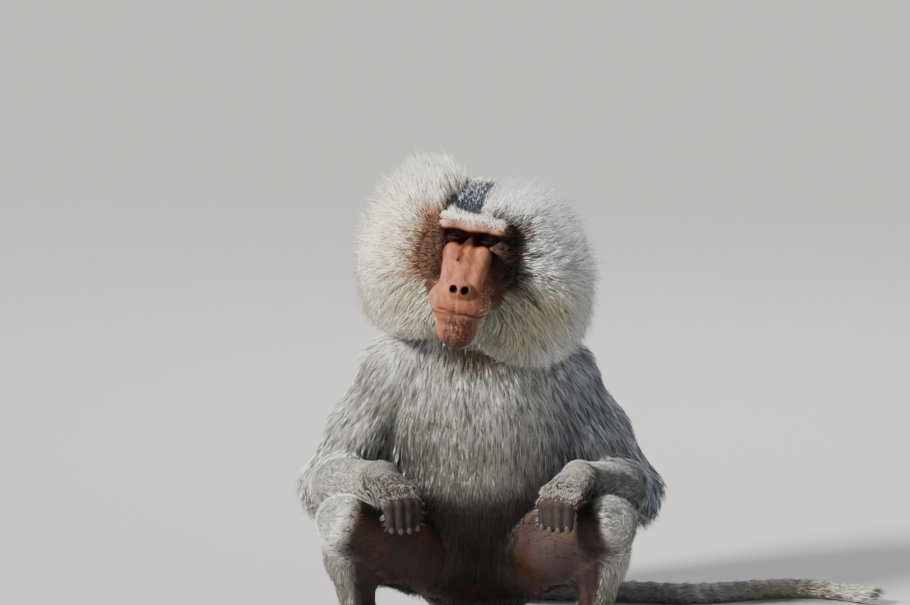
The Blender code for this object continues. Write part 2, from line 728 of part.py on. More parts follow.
def smooth_line(points, count):
    """Evenly spread points on a smooth curve through the given points (a chain of Catmull-Rom spans)."""
    points = np.asarray(points, float)
    padded = np.vstack((2 * points[0] - points[1], points, 2 * points[-1] - points[-2]))
    fine = []
    for a, b, c, d in zip(padded, padded[1:], padded[2:], padded[3:]):
        for t in np.linspace(0, 1, 24, endpoint=False):
            fine.append(0.5 * (2 * b + (c - a) * t + (2 * a - 5 * b + 4 * c - d) * t * t
                               + (3 * b - a - 3 * c + d) * t ** 3))
    fine = np.array(fine + [points[-1]])
    walked = np.concatenate(([0], np.cumsum(np.linalg.norm(np.diff(fine, axis=0), axis=1))))
    wanted = np.linspace(0, walked[-1], count)
    return np.stack([np.interp(wanted, walked, fine[:, axis]) for axis in range(3)], axis=-1)


def tube(name, line, radii, sides=8):
    """A closed tube along a line, with rounded ends."""
    line = np.asarray(line, float)
    tangents = unit(np.gradient(line, axis=0))
    aside = unit(np.cross(tangents, (0, 0, 1)))
    lift = np.cross(aside, tangents)
    angles = np.arange(sides) * 2 * math.pi / sides + math.pi / sides
    ring = (np.cos(angles)[None, :, None] * aside[:, None] + np.sin(angles)[None, :, None] * lift[:, None])
    points = line[:, None] + ring * np.asarray(radii)[:, None, None]
    points = np.concatenate((points.reshape(-1, 3), line[:1], line[-1:]))
    faces = []
    for row in range(len(line) - 1):
        for side in range(sides):
            following = (side + 1) % sides
            a, b = row * sides + side, row * sides + following
            faces.append((a, b, b + sides))
            faces.append((a, b + sides, a + sides))
    first, last = len(line) * sides, len(line) * sides + 1
    base = (len(line) - 1) * sides
    for side in range(sides):
        following = (side + 1) % sides
        faces.append((following, side, first))
        faces.append((base + side, base + following, last))
    return place_mesh(name, points, faces)


def grow_tuft(piece, line, chance):
    """The tuft: locks round the last length of the tail that close past its end."""
    locks = []
    for share, bearings in ((0.25, (90,)), (0.60, (0, 90, 180))):
        spot = int(share * (len(line) - 1))
        along = unit(line[spot + 1] - line[spot])
        aside = unit(np.cross(along, (0, 0, 1)))
        for bearing in bearings:
            turn = math.radians(bearing)
            outward = aside * math.cos(turn) + np.array((0, 0, 1)) * math.sin(turn)
            root = line[spot] + outward * 0.006
            length = 0.062 * chance.uniform(0.92, 1.08)
            locks.append((root, unit(along + outward * 0.40), unit(along - outward * 0.22), outward,
                          length, 0.032, 0.012))
    grow(piece, locks)


def make_tail(pelvis, torso, chance):
    """The tail, in four lengths that lie on the floor past the first, and its tuft."""
    count = 26
    line = smooth_line(TAIL_LINE, count)
    share = np.linspace(0, 1, count)
    radii = TAIL_RADIUS * (1.10 - 0.25 * share)
    ends = (0, 6, 11, 16, 21, count - 1)
    pieces = []
    for number, (start, stop) in enumerate(zip(ends, ends[1:]), 1):
        name = "tail_tuft" if number == 5 else f"tail_{number}"
        first, last = max(start - 1, 0), min(stop + 1, count - 1)
        rows = np.arange(first, last + 1)
        thick = radii[rows].copy()
        if number == 5:
            thick = radii[rows] * np.linspace(1.0, 0.4, len(rows))
        piece = tube(name, line[rows], thick)
        if number > 1:
            cut_flat(piece, line[start], line[start - 1] - line[start + 1])
        if number < 5:
            cut_flat(piece, line[stop], line[stop + 1] - line[stop - 1])
        if number == 5:
            grow_tuft(piece, line[start:], chance)
        cut_flat_floor(piece)
        colour(piece, *LIMB_COAT)
        pieces.append(piece)
    cut_clear(pieces[0], pelvis)
    return pieces


# The ruff's outline seen from the front: angle from straight up, in degrees, and reach from its middle
RUFF_MIDDLE = -0.045
RUFF_ANGLES = (8, 30, 60, 94, 120, 137, 155, 170)
RUFF_REACH = (0.132, 0.162, 0.182, 0.196, 0.200, 0.194, 0.165, 0.130)
RUFF_ROOTS = (0.078, 0.072, 0.066, 0.066, 0.066, 0.066, 0.066, 0.066)
RUFF_SIDE_SCALE = {LEFT: 1.00, RIGHT: 0.93}

# Tiers of locks in a ruff: share of the hair's depth where they root, how far back they root,
# how far out and how far back their tips lie, how many there are and how wide
RUFF_TIERS = (
    (0.00, 0.012, 0.76, 0.036, 6, 0.058),
    (0.24, 0.036, 1.00, 0.064, 9, 0.060),
    (0.24, 0.076, 0.93, 0.120, 7, 0.070),
    (0.06, 0.090, 0.72, 0.162, 4, 0.084),
)


def make_ruff(side, chance):
    """A cheek ruff: a core half as deep as the hair, and rows of locks fanning out from the face."""
    core = merge(
        0.03,
        head_ball(0.072 * side, 0.062, 0.024, (0.046, 0.062, 0.064)),
        head_ball(0.080 * side, 0.060, -0.070, (0.044, 0.056, 0.078)),
    )
    thing = flesh("mane_" + SIDES[side], core, 0.009, 150)
    locks = []
    for root_share, depth, tip_share, tip_depth, count, width in RUFF_TIERS:
        for number in range(count):
            angle = 10 + 154 * (number + chance.uniform(0.35, 0.65)) / count
            reach = np.interp(angle, RUFF_ANGLES, RUFF_REACH) * RUFF_SIDE_SCALE[side]
            start = np.interp(angle, RUFF_ANGLES, RUFF_ROOTS)
            turn = math.radians(angle)
            across, up = math.sin(turn) * side, math.cos(turn)
            root_reach = start + (reach - start) * root_share
            tip_reach = reach * tip_share * chance.uniform(0.975, 1.03)
            root = np.array((across * root_reach, depth, RUFF_MIDDLE + up * root_reach))
            tip = np.array((across * tip_reach, tip_depth, RUFF_MIDDLE + up * tip_reach))
            way = tip - root
            bend = np.array((0, 0.42, -0.12 if angle > 60 else 0.04)) * np.linalg.norm(way)
            facing = HEAD_AXES @ np.array((across * (depth * 8), -1 + depth * 8, up * (depth * 8)))
            locks.append((head_point(*root), HEAD_AXES @ unit(way - bend), HEAD_AXES @ unit(way + bend), facing,
                          np.linalg.norm(way) * 1.05, width, 0.0140))
    grow(thing, locks)
    cut_beside(thing, side, keep_inner=False)
    return thing


def make_crown(chance):
    """The hair of crown and nape: locks from the brow back over the skull and down the neck."""
    cap = merge(
        0.02,
        head_ball(0, 0.060, 0.026, (0.046, 0.066, 0.044)),
        head_ball(0, 0.112, -0.030, (0.056, 0.034, 0.066)),
    )
    thing = flesh("mane_crown", cap, 0.008, 200)
    locks = []
    for row, (pitch, length, count) in enumerate((
        (66, 0.062, 2), (104, 0.085, 2), (138, 0.110, 3), (172, 0.120, 3),
    )):
        turn = math.radians(pitch)
        for number in range(count):
            place = (number + 0.5) / count - 0.5 + 0.06 * (row % 2) + chance.uniform(-0.03, 0.03)
            across = 0.090 * place
            root = np.array((across, 0.066 - 0.052 * math.cos(turn - 0.1), 0.012 + 0.040 * math.sin(turn)))
            outward = np.array((place * 0.8, -math.cos(turn), math.sin(turn)))
            flow = np.array((place * 0.5, math.sin(turn), math.cos(turn)))
            if pitch > 150:
                flow = unit(flow + np.array((0, -0.2, -0.7)))
            first = HEAD_AXES @ unit(flow + outward * 0.45)
            last = HEAD_AXES @ unit(flow + np.array((0, 0.1, -0.5)) - outward * 0.1)
            locks.append((head_point(*root), first, last, HEAD_AXES @ outward, length * chance.uniform(0.92, 1.08),
                          0.056, 0.0160))
    grow(thing, locks)
    return thing


def hanging_lock(form, height, bearing, length, width, chance, lift=0.75):
    """A lock that leaves the trunk at a height and a bearing (0 behind, 180 in front) and hangs down."""
    turn = math.radians(bearing + chance.uniform(-3, 3))
    out = np.array((math.sin(turn), math.cos(turn), 0))
    height = height + chance.uniform(-0.006, 0.006)
    axis = np.array((0, np.interp(height, TRUNK_HEIGHTS, TRUNK_DEPTHS), height))
    reach = np.linspace(0.01, 0.20, 96)
    ray = axis + reach[:, None] * out
    point = ray[np.nonzero(form.distance(ray) < 0)[0][-1]]
    outward = slope_of(form, point[None])[0]
    down = np.array((0, 0, -1.0)) + 0.18 * out
    flow = unit(down - outward * (down @ outward))
    first = unit(flow + outward * lift)
    last = unit(flow + np.array((0, 0, -0.35)) - outward * 0.12)
    return point - outward * 0.012, first, last, outward, length * chance.uniform(0.93, 1.07), width, 0.0150


# How far back the middle of the trunk lies at some heights
TRUNK_HEIGHTS = (0.10, 0.41, 0.48, 0.56)
TRUNK_DEPTHS = (-0.02, -0.01, -0.03, -0.068)

# Rows of locks on neck and torso: height, length, and bearings from straight behind
NECK_ROWS = (
    (0.520, 0.115, (-42, 0, 42)),
    (0.472, 0.115, (-60, -20, 20, 60)),
    (0.480, 0.090, (-155, 155)),
)
TORSO_ROWS = (
    (0.425, 0.120, (-148, -48, 0, 48, 148, 180)),
    (0.362, 0.120, (-126, -70, -24, 24, 70, 126, 180)),
    (0.300, 0.120, (-150, -48, 0, 48, 150)),
    (0.240, 0.105, (-100, -24, 24, 100)),
)


def grow_cape(thing, rows, form, chance):
    """Rows of long locks round the neck, or down the back, the chest and over the shoulders."""
    grow(thing, [hanging_lock(form, height, bearing, length, 0.066, chance)
                 for height, length, bearings in rows for bearing in bearings])


def grow_arm(upper, fore, side, chance):
    """The long hair of the arm: rows down the upper arm, a fringe at the elbow and under the wrist."""
    shoulder, elbow, wrist = (np.array(p[side]) for p in (SHOULDER, ELBOW, WRIST))
    along = unit(elbow - shoulder)
    away = unit(np.array((side, 0, 0)) - along * (along[0] * side))
    front = np.cross(along, away)
    if front[1] > 0:
        front = -front
    locks = []
    for share, length, thick, bearings in (
        (0.16, 0.120, 0.046, (-60, 10, 80)),
        (0.52, 0.112, 0.044, (-84, -20, 50)),
        (0.84, 0.088, 0.038, (-60, 20)),
    ):
        for bearing in bearings:
            turn = math.radians(bearing + chance.uniform(-4, 4))
            outward = away * math.cos(turn) + front * math.sin(turn)
            root = mix(shoulder, elbow, share) + outward * (thick - 0.010)
            down = np.array((0.05 * side, 0, -1.0))
            first = unit(along + outward * 0.65)
            last = unit(along * 0.5 + down * 0.9 - outward * 0.10)
            locks.append((root, first, last, outward, length * chance.uniform(0.92, 1.06), 0.058, 0.0150))
    grow(upper, locks)
    fringe = []
    reach = unit(wrist - elbow)
    below = unit(np.array((0, 0, -1.0)) + reach * reach[2])
    for share, length in ((0.12, 0.060), (0.84, 0.034)):
        root = mix(elbow, wrist, share) + below * (0.036 - 0.014 * share - 0.010)
        fringe.append((root, unit(below + 0.2 * reach), unit(below - 0.25 * reach), np.cross(below, reach),
                       length, 0.034, 0.012))
    grow(fore, fringe)


def make_manes(head, neck, torso, ears, arms, chance):
    """The two cheek ruffs and the hair of crown and nape, cut clear of what they lie on."""
    left, right = (make_ruff(side, chance) for side in (LEFT, RIGHT))
    crown = make_crown(chance)
    for side in (LEFT, RIGHT):
        cut_beside(crown, side, keep_inner=True)
    cut_clear(crown, head, neck, *ears.values(), solver="MANIFOLD")
    for side, ruff in ((LEFT, left), (RIGHT, right)):
        cut_clear(ruff, head, ears[side], torso, arms[side][0], solver="MANIFOLD")
    for thing in (left, right, crown):
        colour(thing, *MANE)


def build():
    """Makes every piece."""
    for thing in list(bpy.data.objects):
        bpy.data.objects.remove(thing)
    chance = random.Random(7)
    eyes = {side: make_eye(side) for side in (LEFT, RIGHT)}
    head = flesh("head", head_form(), 0.0021, 1700, off_features)
    cut_clear(head, *eyes.values())
    colour(head, *FACE)
    ears = {side: make_ear(side, head) for side in (LEFT, RIGHT)}
    pelvis, torso, neck = make_trunk()
    seat_pad = make_seat_pad(pelvis)
    grow_cape(neck, NECK_ROWS, trunk_form(), chance)
    grow_cape(torso, TORSO_ROWS, trunk_form(), chance)
    for side in (LEFT, RIGHT):
        cut_beside(neck, side, keep_inner=True)
    cut_clear(neck, head, torso, *ears.values(), solver="MANIFOLD")
    cut_clear(torso, pelvis, head, solver="MANIFOLD")
    arms = {}
    for side in (LEFT, RIGHT):
        thigh, shin, foot = make_leg(side, pelvis, torso, seat_pad)
        arms[side] = make_arm(side, torso, pelvis, thigh, shin, chance)
    make_tail(pelvis, torso, chance)
    make_manes(head, neck, torso, ears, arms, chance)


build()
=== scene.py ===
"""Looks of the seated male hamadryas baboon: skin, eyes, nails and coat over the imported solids.

Metres, +Z up. The animal faces -Y and its left side is at +X.
"""
import math

import bpy
import numpy as np
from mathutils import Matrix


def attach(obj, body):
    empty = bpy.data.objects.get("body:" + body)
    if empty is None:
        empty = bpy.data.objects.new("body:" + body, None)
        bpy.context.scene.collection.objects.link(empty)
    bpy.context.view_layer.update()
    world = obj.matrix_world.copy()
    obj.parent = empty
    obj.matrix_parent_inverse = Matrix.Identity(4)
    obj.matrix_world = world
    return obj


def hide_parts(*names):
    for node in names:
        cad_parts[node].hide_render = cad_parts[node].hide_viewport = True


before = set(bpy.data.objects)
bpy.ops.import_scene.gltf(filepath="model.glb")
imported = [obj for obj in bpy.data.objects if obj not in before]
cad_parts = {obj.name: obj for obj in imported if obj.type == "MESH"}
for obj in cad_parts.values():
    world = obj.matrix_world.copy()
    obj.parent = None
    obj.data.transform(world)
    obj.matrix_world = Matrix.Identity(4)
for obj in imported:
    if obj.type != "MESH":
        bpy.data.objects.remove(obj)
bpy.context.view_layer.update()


# Skin.
# The whole body under the coat, as one piece: balls and tapered limbs flowing into one another,
# meshed finely on face, hands and feet. It lies under the solids' surface by the coat's depth
# where fur grows, and on it where the skin is bare.
LEFT, RIGHT = 1, -1
HEAD_PLACE = np.array((-0.009, -0.135, 0.610))
HIP = {LEFT: (0.070, -0.040, 0.105), RIGHT: (-0.070, -0.040, 0.105)}
KNEE = {LEFT: (0.188, -0.215, 0.198), RIGHT: (-0.193, -0.222, 0.202)}
ANKLE = {LEFT: (0.172, -0.118, 0.044), RIGHT: (-0.176, -0.124, 0.044)}
TOES = {LEFT: (0.205, -0.290, 0.012), RIGHT: (-0.205, -0.300, 0.012)}
SHOULDER = {LEFT: (0.122, -0.010, 0.380), RIGHT: (-0.120, -0.015, 0.388)}
ELBOW = {LEFT: (0.238, 0.005, 0.198), RIGHT: (-0.228, 0.000, 0.208)}
WRIST = {LEFT: (0.148, -0.178, 0.258), RIGHT: (-0.144, -0.188, 0.260)}
TAIL_LINE = (
    (0.000, 0.046, 0.088), (0.012, 0.088, 0.052), (0.045, 0.114, 0.020), (0.120, 0.106, 0.0152),
    (0.250, 0.090, 0.0152), (0.340, 0.080, 0.0152), (0.450, 0.110, 0.0152), (0.520, 0.112, 0.0152),
    (0.610, 0.068, 0.0152),
)
FUR_DEPTH = 0.002
SOLE_HEIGHT = 0.0003
BOX_MARGIN = 0.004
HEAD_FLOW = 0.008
SLOPE_STEP = 0.0004
BLOCK = 4
EYE_RADIUS = 0.0115
EYE_SPREAD = 0.0235


def unit(vector):
    """The vectors along the last axis, each divided by its length."""
    vector = np.asarray(vector, float)
    return vector / np.maximum(np.linalg.norm(vector, axis=-1, keepdims=True), 1e-12)


def turn_about(axis, degrees):
    """The matrix of a turn about X, Y or Z: cosines on its diagonal and sines beside it."""
    c, s = math.cos(math.radians(degrees)), math.sin(math.radians(degrees))
    first, second = {"X": (1, 2), "Y": (2, 0), "Z": (0, 1)}[axis]
    matrix = np.eye(3)
    matrix[first, first] = matrix[second, second] = c
    matrix[first, second] = -s
    matrix[second, first] = s
    return matrix


HEAD_AXES = turn_about("Z", -6) @ turn_about("Y", 8)


def head_point(x, y, z):
    """A world point from head coordinates, whose origin lies between the eyes."""
    return HEAD_AXES @ np.array((x, y, z), float) + HEAD_PLACE


def in_head(points):
    """World points in head coordinates."""
    return (points - HEAD_PLACE) @ HEAD_AXES


def mix(a, b, share):
    """The point at a share of the way from a to b."""
    return np.asarray(a, float) * (1 - share) + np.asarray(b, float) * share


class Form:
    """A closed form: its distance, negative inside, and the box that holds it."""

    beyond = 0.035

    def __init__(self, distance, low, high):
        self.distance = distance
        self.low = np.asarray(low, float)
        self.high = np.asarray(high, float)

    def at(self, points):
        """The distance near the form's box, and one large value everywhere else."""
        near = np.all((points > self.low - self.beyond) & (points < self.high + self.beyond), axis=-1)
        result = np.full(len(points), self.beyond)
        if near.any():
            result[near] = np.minimum(self.distance(points[near]), self.beyond)
        return result

    def outward(self, points):
        """The unit slope of the distance, from differences over two small steps on each axis."""
        moves = np.eye(3) * SLOPE_STEP
        return unit(np.stack([self.at(points + move) - self.at(points - move) for move in moves], axis=-1))

    def settle(self, points, rounds=3, reach=0.01):
        """Points moved along the slope onto the surface."""
        for _ in range(rounds):
            points = points - np.clip(self.at(points), -reach, reach)[:, None] * self.outward(points)
        return points


def soft_min(a, b, width):
    """The smaller of two distances, rounded by a parabola over a width."""
    share = np.clip(0.5 + 0.5 * (b - a) / width, 0, 1)
    return b + (a - b) * share - width * share * (1 - share)


def ball(centre, radii, axes=None):
    """An ellipsoid: k (k - 1) / g, with k the scaled radius and g its slope."""
    centre = np.asarray(centre, float)
    radii = np.broadcast_to(np.asarray(radii, float), 3)
    axes = np.eye(3) if axes is None else np.asarray(axes, float)

    def distance(points):
        local = (points - centre) @ axes / radii
        k = np.linalg.norm(local, axis=-1)
        return k * (k - 1) / np.maximum(np.linalg.norm(local / radii, axis=-1), 1e-9)

    reach = np.abs(axes) @ radii
    return Form(distance, centre - reach, centre + reach)


def limb(points, radii, width=0.01):
    """A chain of round cones: distance to each span's axis less a radius that changes along it."""
    points = np.asarray(points, float)
    radii = np.broadcast_to(np.asarray(radii, float), len(points))

    def distance(where):
        result = None
        for start, end, thick, thin in zip(points, points[1:], radii, radii[1:]):
            along = end - start
            share = np.clip((where - start) @ along / (along @ along), 0, 1)
            gap = np.linalg.norm(where - start - share[..., None] * along, axis=-1)
            gap = gap - (thick + (thin - thick) * share)
            result = gap if result is None else soft_min(result, gap, width)
        return result

    reach = radii[:, None] + width / 4
    return Form(distance, (points - reach).min(axis=0), (points + reach).max(axis=0))


def merge(width, *forms):
    """Forms flowing into one another over a width: the soft minimum of their distances."""

    def distance(points):
        result = forms[0].at(points)
        for form in forms[1:]:
            result = soft_min(result, form.at(points), width)
        return result

    low = np.min([form.low for form in forms], axis=0) - width / 4
    high = np.max([form.high for form in forms], axis=0) + width / 4
    return Form(distance, low, high)


def carve(form, width, *cutters):
    """A form with others taken out, its edges rounded over a width: the distance, its sign turned
    round for the soft minimum with each cutter's and then back."""

    def distance(points):
        result = form.at(points)
        for cutter in cutters:
            result = -soft_min(-result, cutter.at(points), width)
        return result

    return Form(distance, form.low, form.high)


def sunk(form, depth):
    """A form whose surface lies deeper: its distance with a depth added."""
    return Form(lambda points: form.at(points) + depth, form.low - BOX_MARGIN, form.high + BOX_MARGIN)


def flat_below(form):
    """A form cut flat just above the floor: the larger of its distance and the depth below the cut."""
    return Form(lambda points: np.maximum(form.at(points), SOLE_HEIGHT - points[:, 2]), form.low, form.high)


def both(make):
    """What a function makes for the left and for the right side."""
    return [make(side) for side in (LEFT, RIGHT)]


def head_ball(x, y, z, radii, axes=None):
    """An ellipsoid in head coordinates."""
    return ball(head_point(x, y, z), radii, HEAD_AXES if axes is None else HEAD_AXES @ axes)


def head_limb(points, radii):
    """A limb in head coordinates."""
    return limb([head_point(*p) for p in points], radii, HEAD_FLOW)


def head_pair(x, y, z, radii):
    """An ellipsoid at x on the head's left side and its mirror image on the right."""
    return both(lambda side: head_ball(x * side, y, z, radii))


def net_of(form, cell):
    """The surface where the distance is zero, as four-sided faces.

    Blocks of cells near the surface are found on a coarse grid. In them each cell that the
    surface crosses gives a point, each grid edge that it crosses gives a face between the four
    cells round it, and the points are evened out and set on the surface.
    """
    low = form.low - 3 * cell
    counts = np.ceil((form.high + 3 * cell - low) / (cell * BLOCK)).astype(int) + 1
    starts = np.argwhere(np.ones(counts, bool))
    middles = low + (starts + 0.5) * cell * BLOCK
    starts = starts[np.abs(form.at(middles)) < cell * BLOCK * 1.25] * BLOCK
    within = np.argwhere(np.ones((BLOCK,) * 3, bool))
    cells = (starts[:, None] + within).reshape(-1, 3)
    size = counts * BLOCK + 2
    steps = np.array((size[1] * size[2], size[2], 1))
    number = np.sort(cells @ steps)
    offsets = np.argwhere(np.ones((2, 2, 2), bool)) @ steps
    corners = np.unique(number[:, None] + offsets)
    place = np.stack(np.unravel_index(corners, size), axis=-1)
    inside = form.at(low + place * cell) < 0
    total = inside[np.searchsorted(corners, number[:, None] + offsets)].sum(axis=1)
    crossed = number[(total > 0) & (total < 8)]
    points = low + (np.stack(np.unravel_index(crossed, size), axis=-1) + 0.5) * cell
    faces = []
    for axis in range(3):
        first, second = steps[(axis + 1) % 3], steps[(axis + 2) % 3]
        other = np.minimum(np.searchsorted(corners, corners + steps[axis]), len(corners) - 1)
        change = (corners[other] == corners + steps[axis]) & (inside != inside[other])
        spot = corners[change]
        ring = np.stack((spot, spot - first, spot - first - second, spot - second), axis=1)
        ring[~inside[change]] = ring[~inside[change]][:, ::-1]
        faces.append(ring)
    faces = np.concatenate(faces)
    found = np.minimum(np.searchsorted(crossed, faces), len(crossed) - 1)
    faces = found[np.all(crossed[found] == faces, axis=1)]
    points = form.settle(points, 2, cell)
    pairs = np.unique(np.sort(faces[:, [0, 1, 1, 2, 2, 3, 3, 0]].reshape(-1, 2), axis=1), axis=0)
    share = np.bincount(pairs.ravel(), minlength=len(points)).clip(1)[:, None]
    for _ in range(3):
        mean = np.stack([np.bincount(pairs[:, 0], points[pairs[:, 1], k], len(points))
                         + np.bincount(pairs[:, 1], points[pairs[:, 0], k], len(points))
                         for k in range(3)], axis=-1)
        points = form.settle(points * 0.4 + mean / share * 0.6, 1, cell)
    return points, faces


def skull_form():
    """Braincase, cheeks and the long square muzzle with its two ridges and flaring front."""
    case = head_ball(0, 0.062, 0.012, (0.050, 0.062, 0.050))
    forehead = head_ball(0, 0.022, 0.014, (0.046, 0.034, 0.028))
    temple = head_pair(0.040, 0.028, 0.0, (0.020, 0.036, 0.030))
    cheek = head_pair(0.044, 0.006, -0.036, (0.020, 0.034, 0.034))
    jaw_angle = head_pair(0.034, 0.020, -0.080, (0.020, 0.036, 0.036))
    upper = head_ball(0, -0.038, -0.054, (0.034, 0.062, 0.038))
    ridge = both(lambda s: head_limb(
        ((0.021 * s, -0.020, -0.0125), (0.022 * s, -0.044, -0.0225), (0.018 * s, -0.100, -0.057)),
        (0.0095, 0.0125, 0.011)))
    bridge = head_limb(((0, -0.014, -0.013), (0, -0.046, -0.0225), (0, -0.108, -0.058)),
                       (0.0105, 0.0125, 0.0105))
    front = head_ball(0.002, -0.088, -0.079, (0.0405, 0.033, 0.030))
    pad = both(lambda s: head_ball(0.0015 + 0.0205 * s, -0.094, -0.084, (0.0215, 0.024, 0.023)))
    nose = head_ball(0.0015, -0.116, -0.061, (0.0185, 0.014, 0.0135))
    under = head_ball(0.001, -0.044, -0.108, (0.035, 0.056, 0.033))
    chin = head_ball(0.003, -0.088, -0.121, (0.0295, 0.027, 0.030))
    lip = head_ball(0, -0.100, -0.103, (0.031, 0.016, 0.011))
    throat = head_ball(0, 0.020, -0.070, (0.040, 0.050, 0.045))
    mass = merge(0.012, case, forehead, *temple, *cheek, *jaw_angle, upper, front, *pad, under, chin,
                 throat)
    return merge(0.006, mass, *ridge, bridge, nose, lip)


MOUTH_LINE = (
    (-0.034, -0.040, -0.078), (-0.042, -0.062, -0.080), (-0.042, -0.086, -0.084),
    (-0.032, -0.106, -0.089), (-0.016, -0.120, -0.095), (0, -0.124, -0.099), (0.016, -0.120, -0.098),
    (0.032, -0.106, -0.095), (0.042, -0.086, -0.091), (0.042, -0.062, -0.085), (0.034, -0.040, -0.078),
)


def head_form():
    """The skull with brow, eye hollows, lids, nostrils and the line of the mouth."""
    brow = head_limb(
        ((-0.053, 0.002, 0.010), (-0.037, -0.015, 0.0155), (0, -0.017, 0.0175),
         (0.037, -0.015, 0.0155), (0.053, 0.002, 0.010)), (0.0085, 0.0105, 0.0105, 0.0105, 0.0085))
    base = merge(0.008, skull_form(), brow)
    hollow = head_pair(EYE_SPREAD, -0.017, -0.002, (0.018, 0.016, 0.0105))
    base = carve(base, 0.006, *hollow)
    lids = head_pair(EYE_SPREAD, 0, 0, (EYE_RADIUS + 0.0016,) * 3)
    base = merge(0.002, base, *lids)
    slit = head_pair(EYE_SPREAD, -0.014, -0.0012, (0.0105, 0.010, 0.0031))
    nostril = both(lambda s: head_limb(
        ((0.0018 + 0.0088 * s, -0.138, -0.0612), (0.0018 + 0.0080 * s, -0.118, -0.0582)),
        (0.0064, 0.0046)))
    groove = head_limb(((0, -0.126, -0.080), (0, -0.118, -0.094)), 0.0016)
    line = np.array([head_point(*point) for point in MOUTH_LINE])
    mouth = limb(base.settle(line, 8), 0.0022, 0.002)
    crease = head_limb(
        ((-0.004, -0.040, -0.0065), (-0.006, -0.058, -0.0145), (-0.0075, -0.074, -0.026)), 0.0042)
    return carve(base, 0.0025, *slit, *nostril, groove, mouth, crease)


def ear_form(side):
    """An ear: a rounded leaf with a hollow cup."""
    tilt = turn_about("Z", 30 * side) @ turn_about("Y", -8 * side)
    shell = head_ball(0.066 * side, 0.062, -0.010, (0.011, 0.022, 0.029), tilt)
    root = head_ball(0.054 * side, 0.056, -0.014, (0.016, 0.015, 0.019), tilt)
    cup = head_ball(0.078 * side, 0.060, -0.008, (0.009, 0.014, 0.020), tilt)
    return carve(merge(0.008, shell, root), 0.002, cup)


def trunk_form():
    """Pelvis, belly, rib cage, shoulders and neck in one flow."""
    pelvis = ball((0, -0.006, 0.102), (0.088, 0.064, 0.084))
    rump = both(lambda s: ball((0.042 * s, 0.010, 0.064), (0.048, 0.050, 0.052)))
    belly = ball((0, -0.034, 0.205), (0.108, 0.084, 0.100))
    chest = ball((0, -0.030, 0.320), (0.124, 0.092, 0.108))
    back = ball((0, 0.020, 0.345), (0.100, 0.062, 0.115))
    girdle = limb((SHOULDER[RIGHT], (0, -0.005, 0.405), SHOULDER[LEFT]), (0.046, 0.052, 0.046), 0.02)
    neck = limb(((0, 0.000, 0.410), (-0.004, -0.030, 0.480), (-0.010, -0.068, 0.560)),
                (0.074, 0.062, 0.056), 0.02)
    flank = both(lambda s: limb(
        ((0.104 * s, 0.012, 0.345), (0.106 * s, 0.012, 0.255), (0.080 * s, 0.004, 0.170)),
        (0.044, 0.042, 0.045), 0.02))
    return merge(0.03, pelvis, *rump, belly, chest, back, girdle, neck, *flank)


def leg_form(side):
    """Thigh and shin in one chain."""
    hip, knee, ankle = HIP[side], KNEE[side], ANKLE[side]
    calf = mix(knee, ankle, 0.40) + (0, 0.010, 0)
    return limb((hip, mix(hip, knee, 0.5) + (0, 0, -0.004), knee, calf, ankle),
                (0.062, 0.056, 0.036, 0.036, 0.025), 0.02)


def arm_form(side):
    """Upper arm and forearm in one chain."""
    shoulder, elbow, wrist = SHOULDER[side], ELBOW[side], WRIST[side]
    return limb((shoulder, mix(shoulder, elbow, 0.5), elbow, mix(elbow, wrist, 0.3), wrist),
                (0.048, 0.044, 0.036, 0.037, 0.024), 0.02)


def smooth_line(points, count):
    """Evenly spread points on a chain of Catmull-Rom spans through the given points."""
    points = np.asarray(points, float)
    padded = np.vstack((2 * points[0] - points[1], points, 2 * points[-1] - points[-2]))
    t = np.linspace(0, 1, 24, endpoint=False)[:, None]
    fine = []
    for a, b, c, d in zip(padded, padded[1:], padded[2:], padded[3:]):
        fine.append(0.5 * (2 * b + (c - a) * t + (2 * a - 5 * b + 4 * c - d) * t * t
                           + (3 * b - a - 3 * c + d) * t ** 3))
    fine = np.vstack(fine + [points[-1:]])
    walked = np.concatenate(([0], np.cumsum(np.linalg.norm(np.diff(fine, axis=0), axis=1))))
    wanted = np.linspace(0, walked[-1], count)
    return np.stack([np.interp(wanted, walked, fine[:, axis]) for axis in range(3)], axis=-1)


TAIL_POINTS = 26
TAIL_SHARE = np.linspace(0, 1, TAIL_POINTS)
TAIL = smooth_line(TAIL_LINE, TAIL_POINTS)
TAIL_THICK = 0.016 * (1.10 - 0.25 * TAIL_SHARE) * (1 - 0.5 * TAIL_SHARE ** 8)


def body_form():
    """Trunk, legs, arms and tail; arms flow into the trunk only near the shoulder."""
    trunk = merge(0.02, trunk_form(), limb(TAIL[:-1], TAIL_THICK[:-1]))
    legs = both(leg_form)
    arms = both(arm_form)
    shoulders = [np.asarray(SHOULDER[side]) for side in (LEFT, RIGHT)]

    def distance(points):
        result = trunk.at(points)
        for leg in legs:
            result = soft_min(result, leg.at(points), 0.022)
        for arm, shoulder in zip(arms, shoulders):
            near = np.exp(-(np.linalg.norm(points - shoulder, axis=-1) / 0.07) ** 2)
            result = soft_min(result, arm.at(points), 0.002 + 0.030 * near)
        return result

    pieces = [trunk, *legs, *arms]
    low = np.min([piece.low for piece in pieces], axis=0) - 0.01
    high = np.max([piece.high for piece in pieces], axis=0) + 0.01
    return Form(distance, low, high)


def pad_form():
    """The bare horny seat pad, flat where it rests on the floor."""
    return flat_below(merge(0.008, *both(lambda s: ball((0.022 * s, 0.004, 0.014), (0.032, 0.032, 0.022)))))


TOE_PLACES = (-0.018, -0.006, 0.006, 0.018)
FINGER_PLACES = (-0.0195, -0.0065, 0.0065, 0.0195)


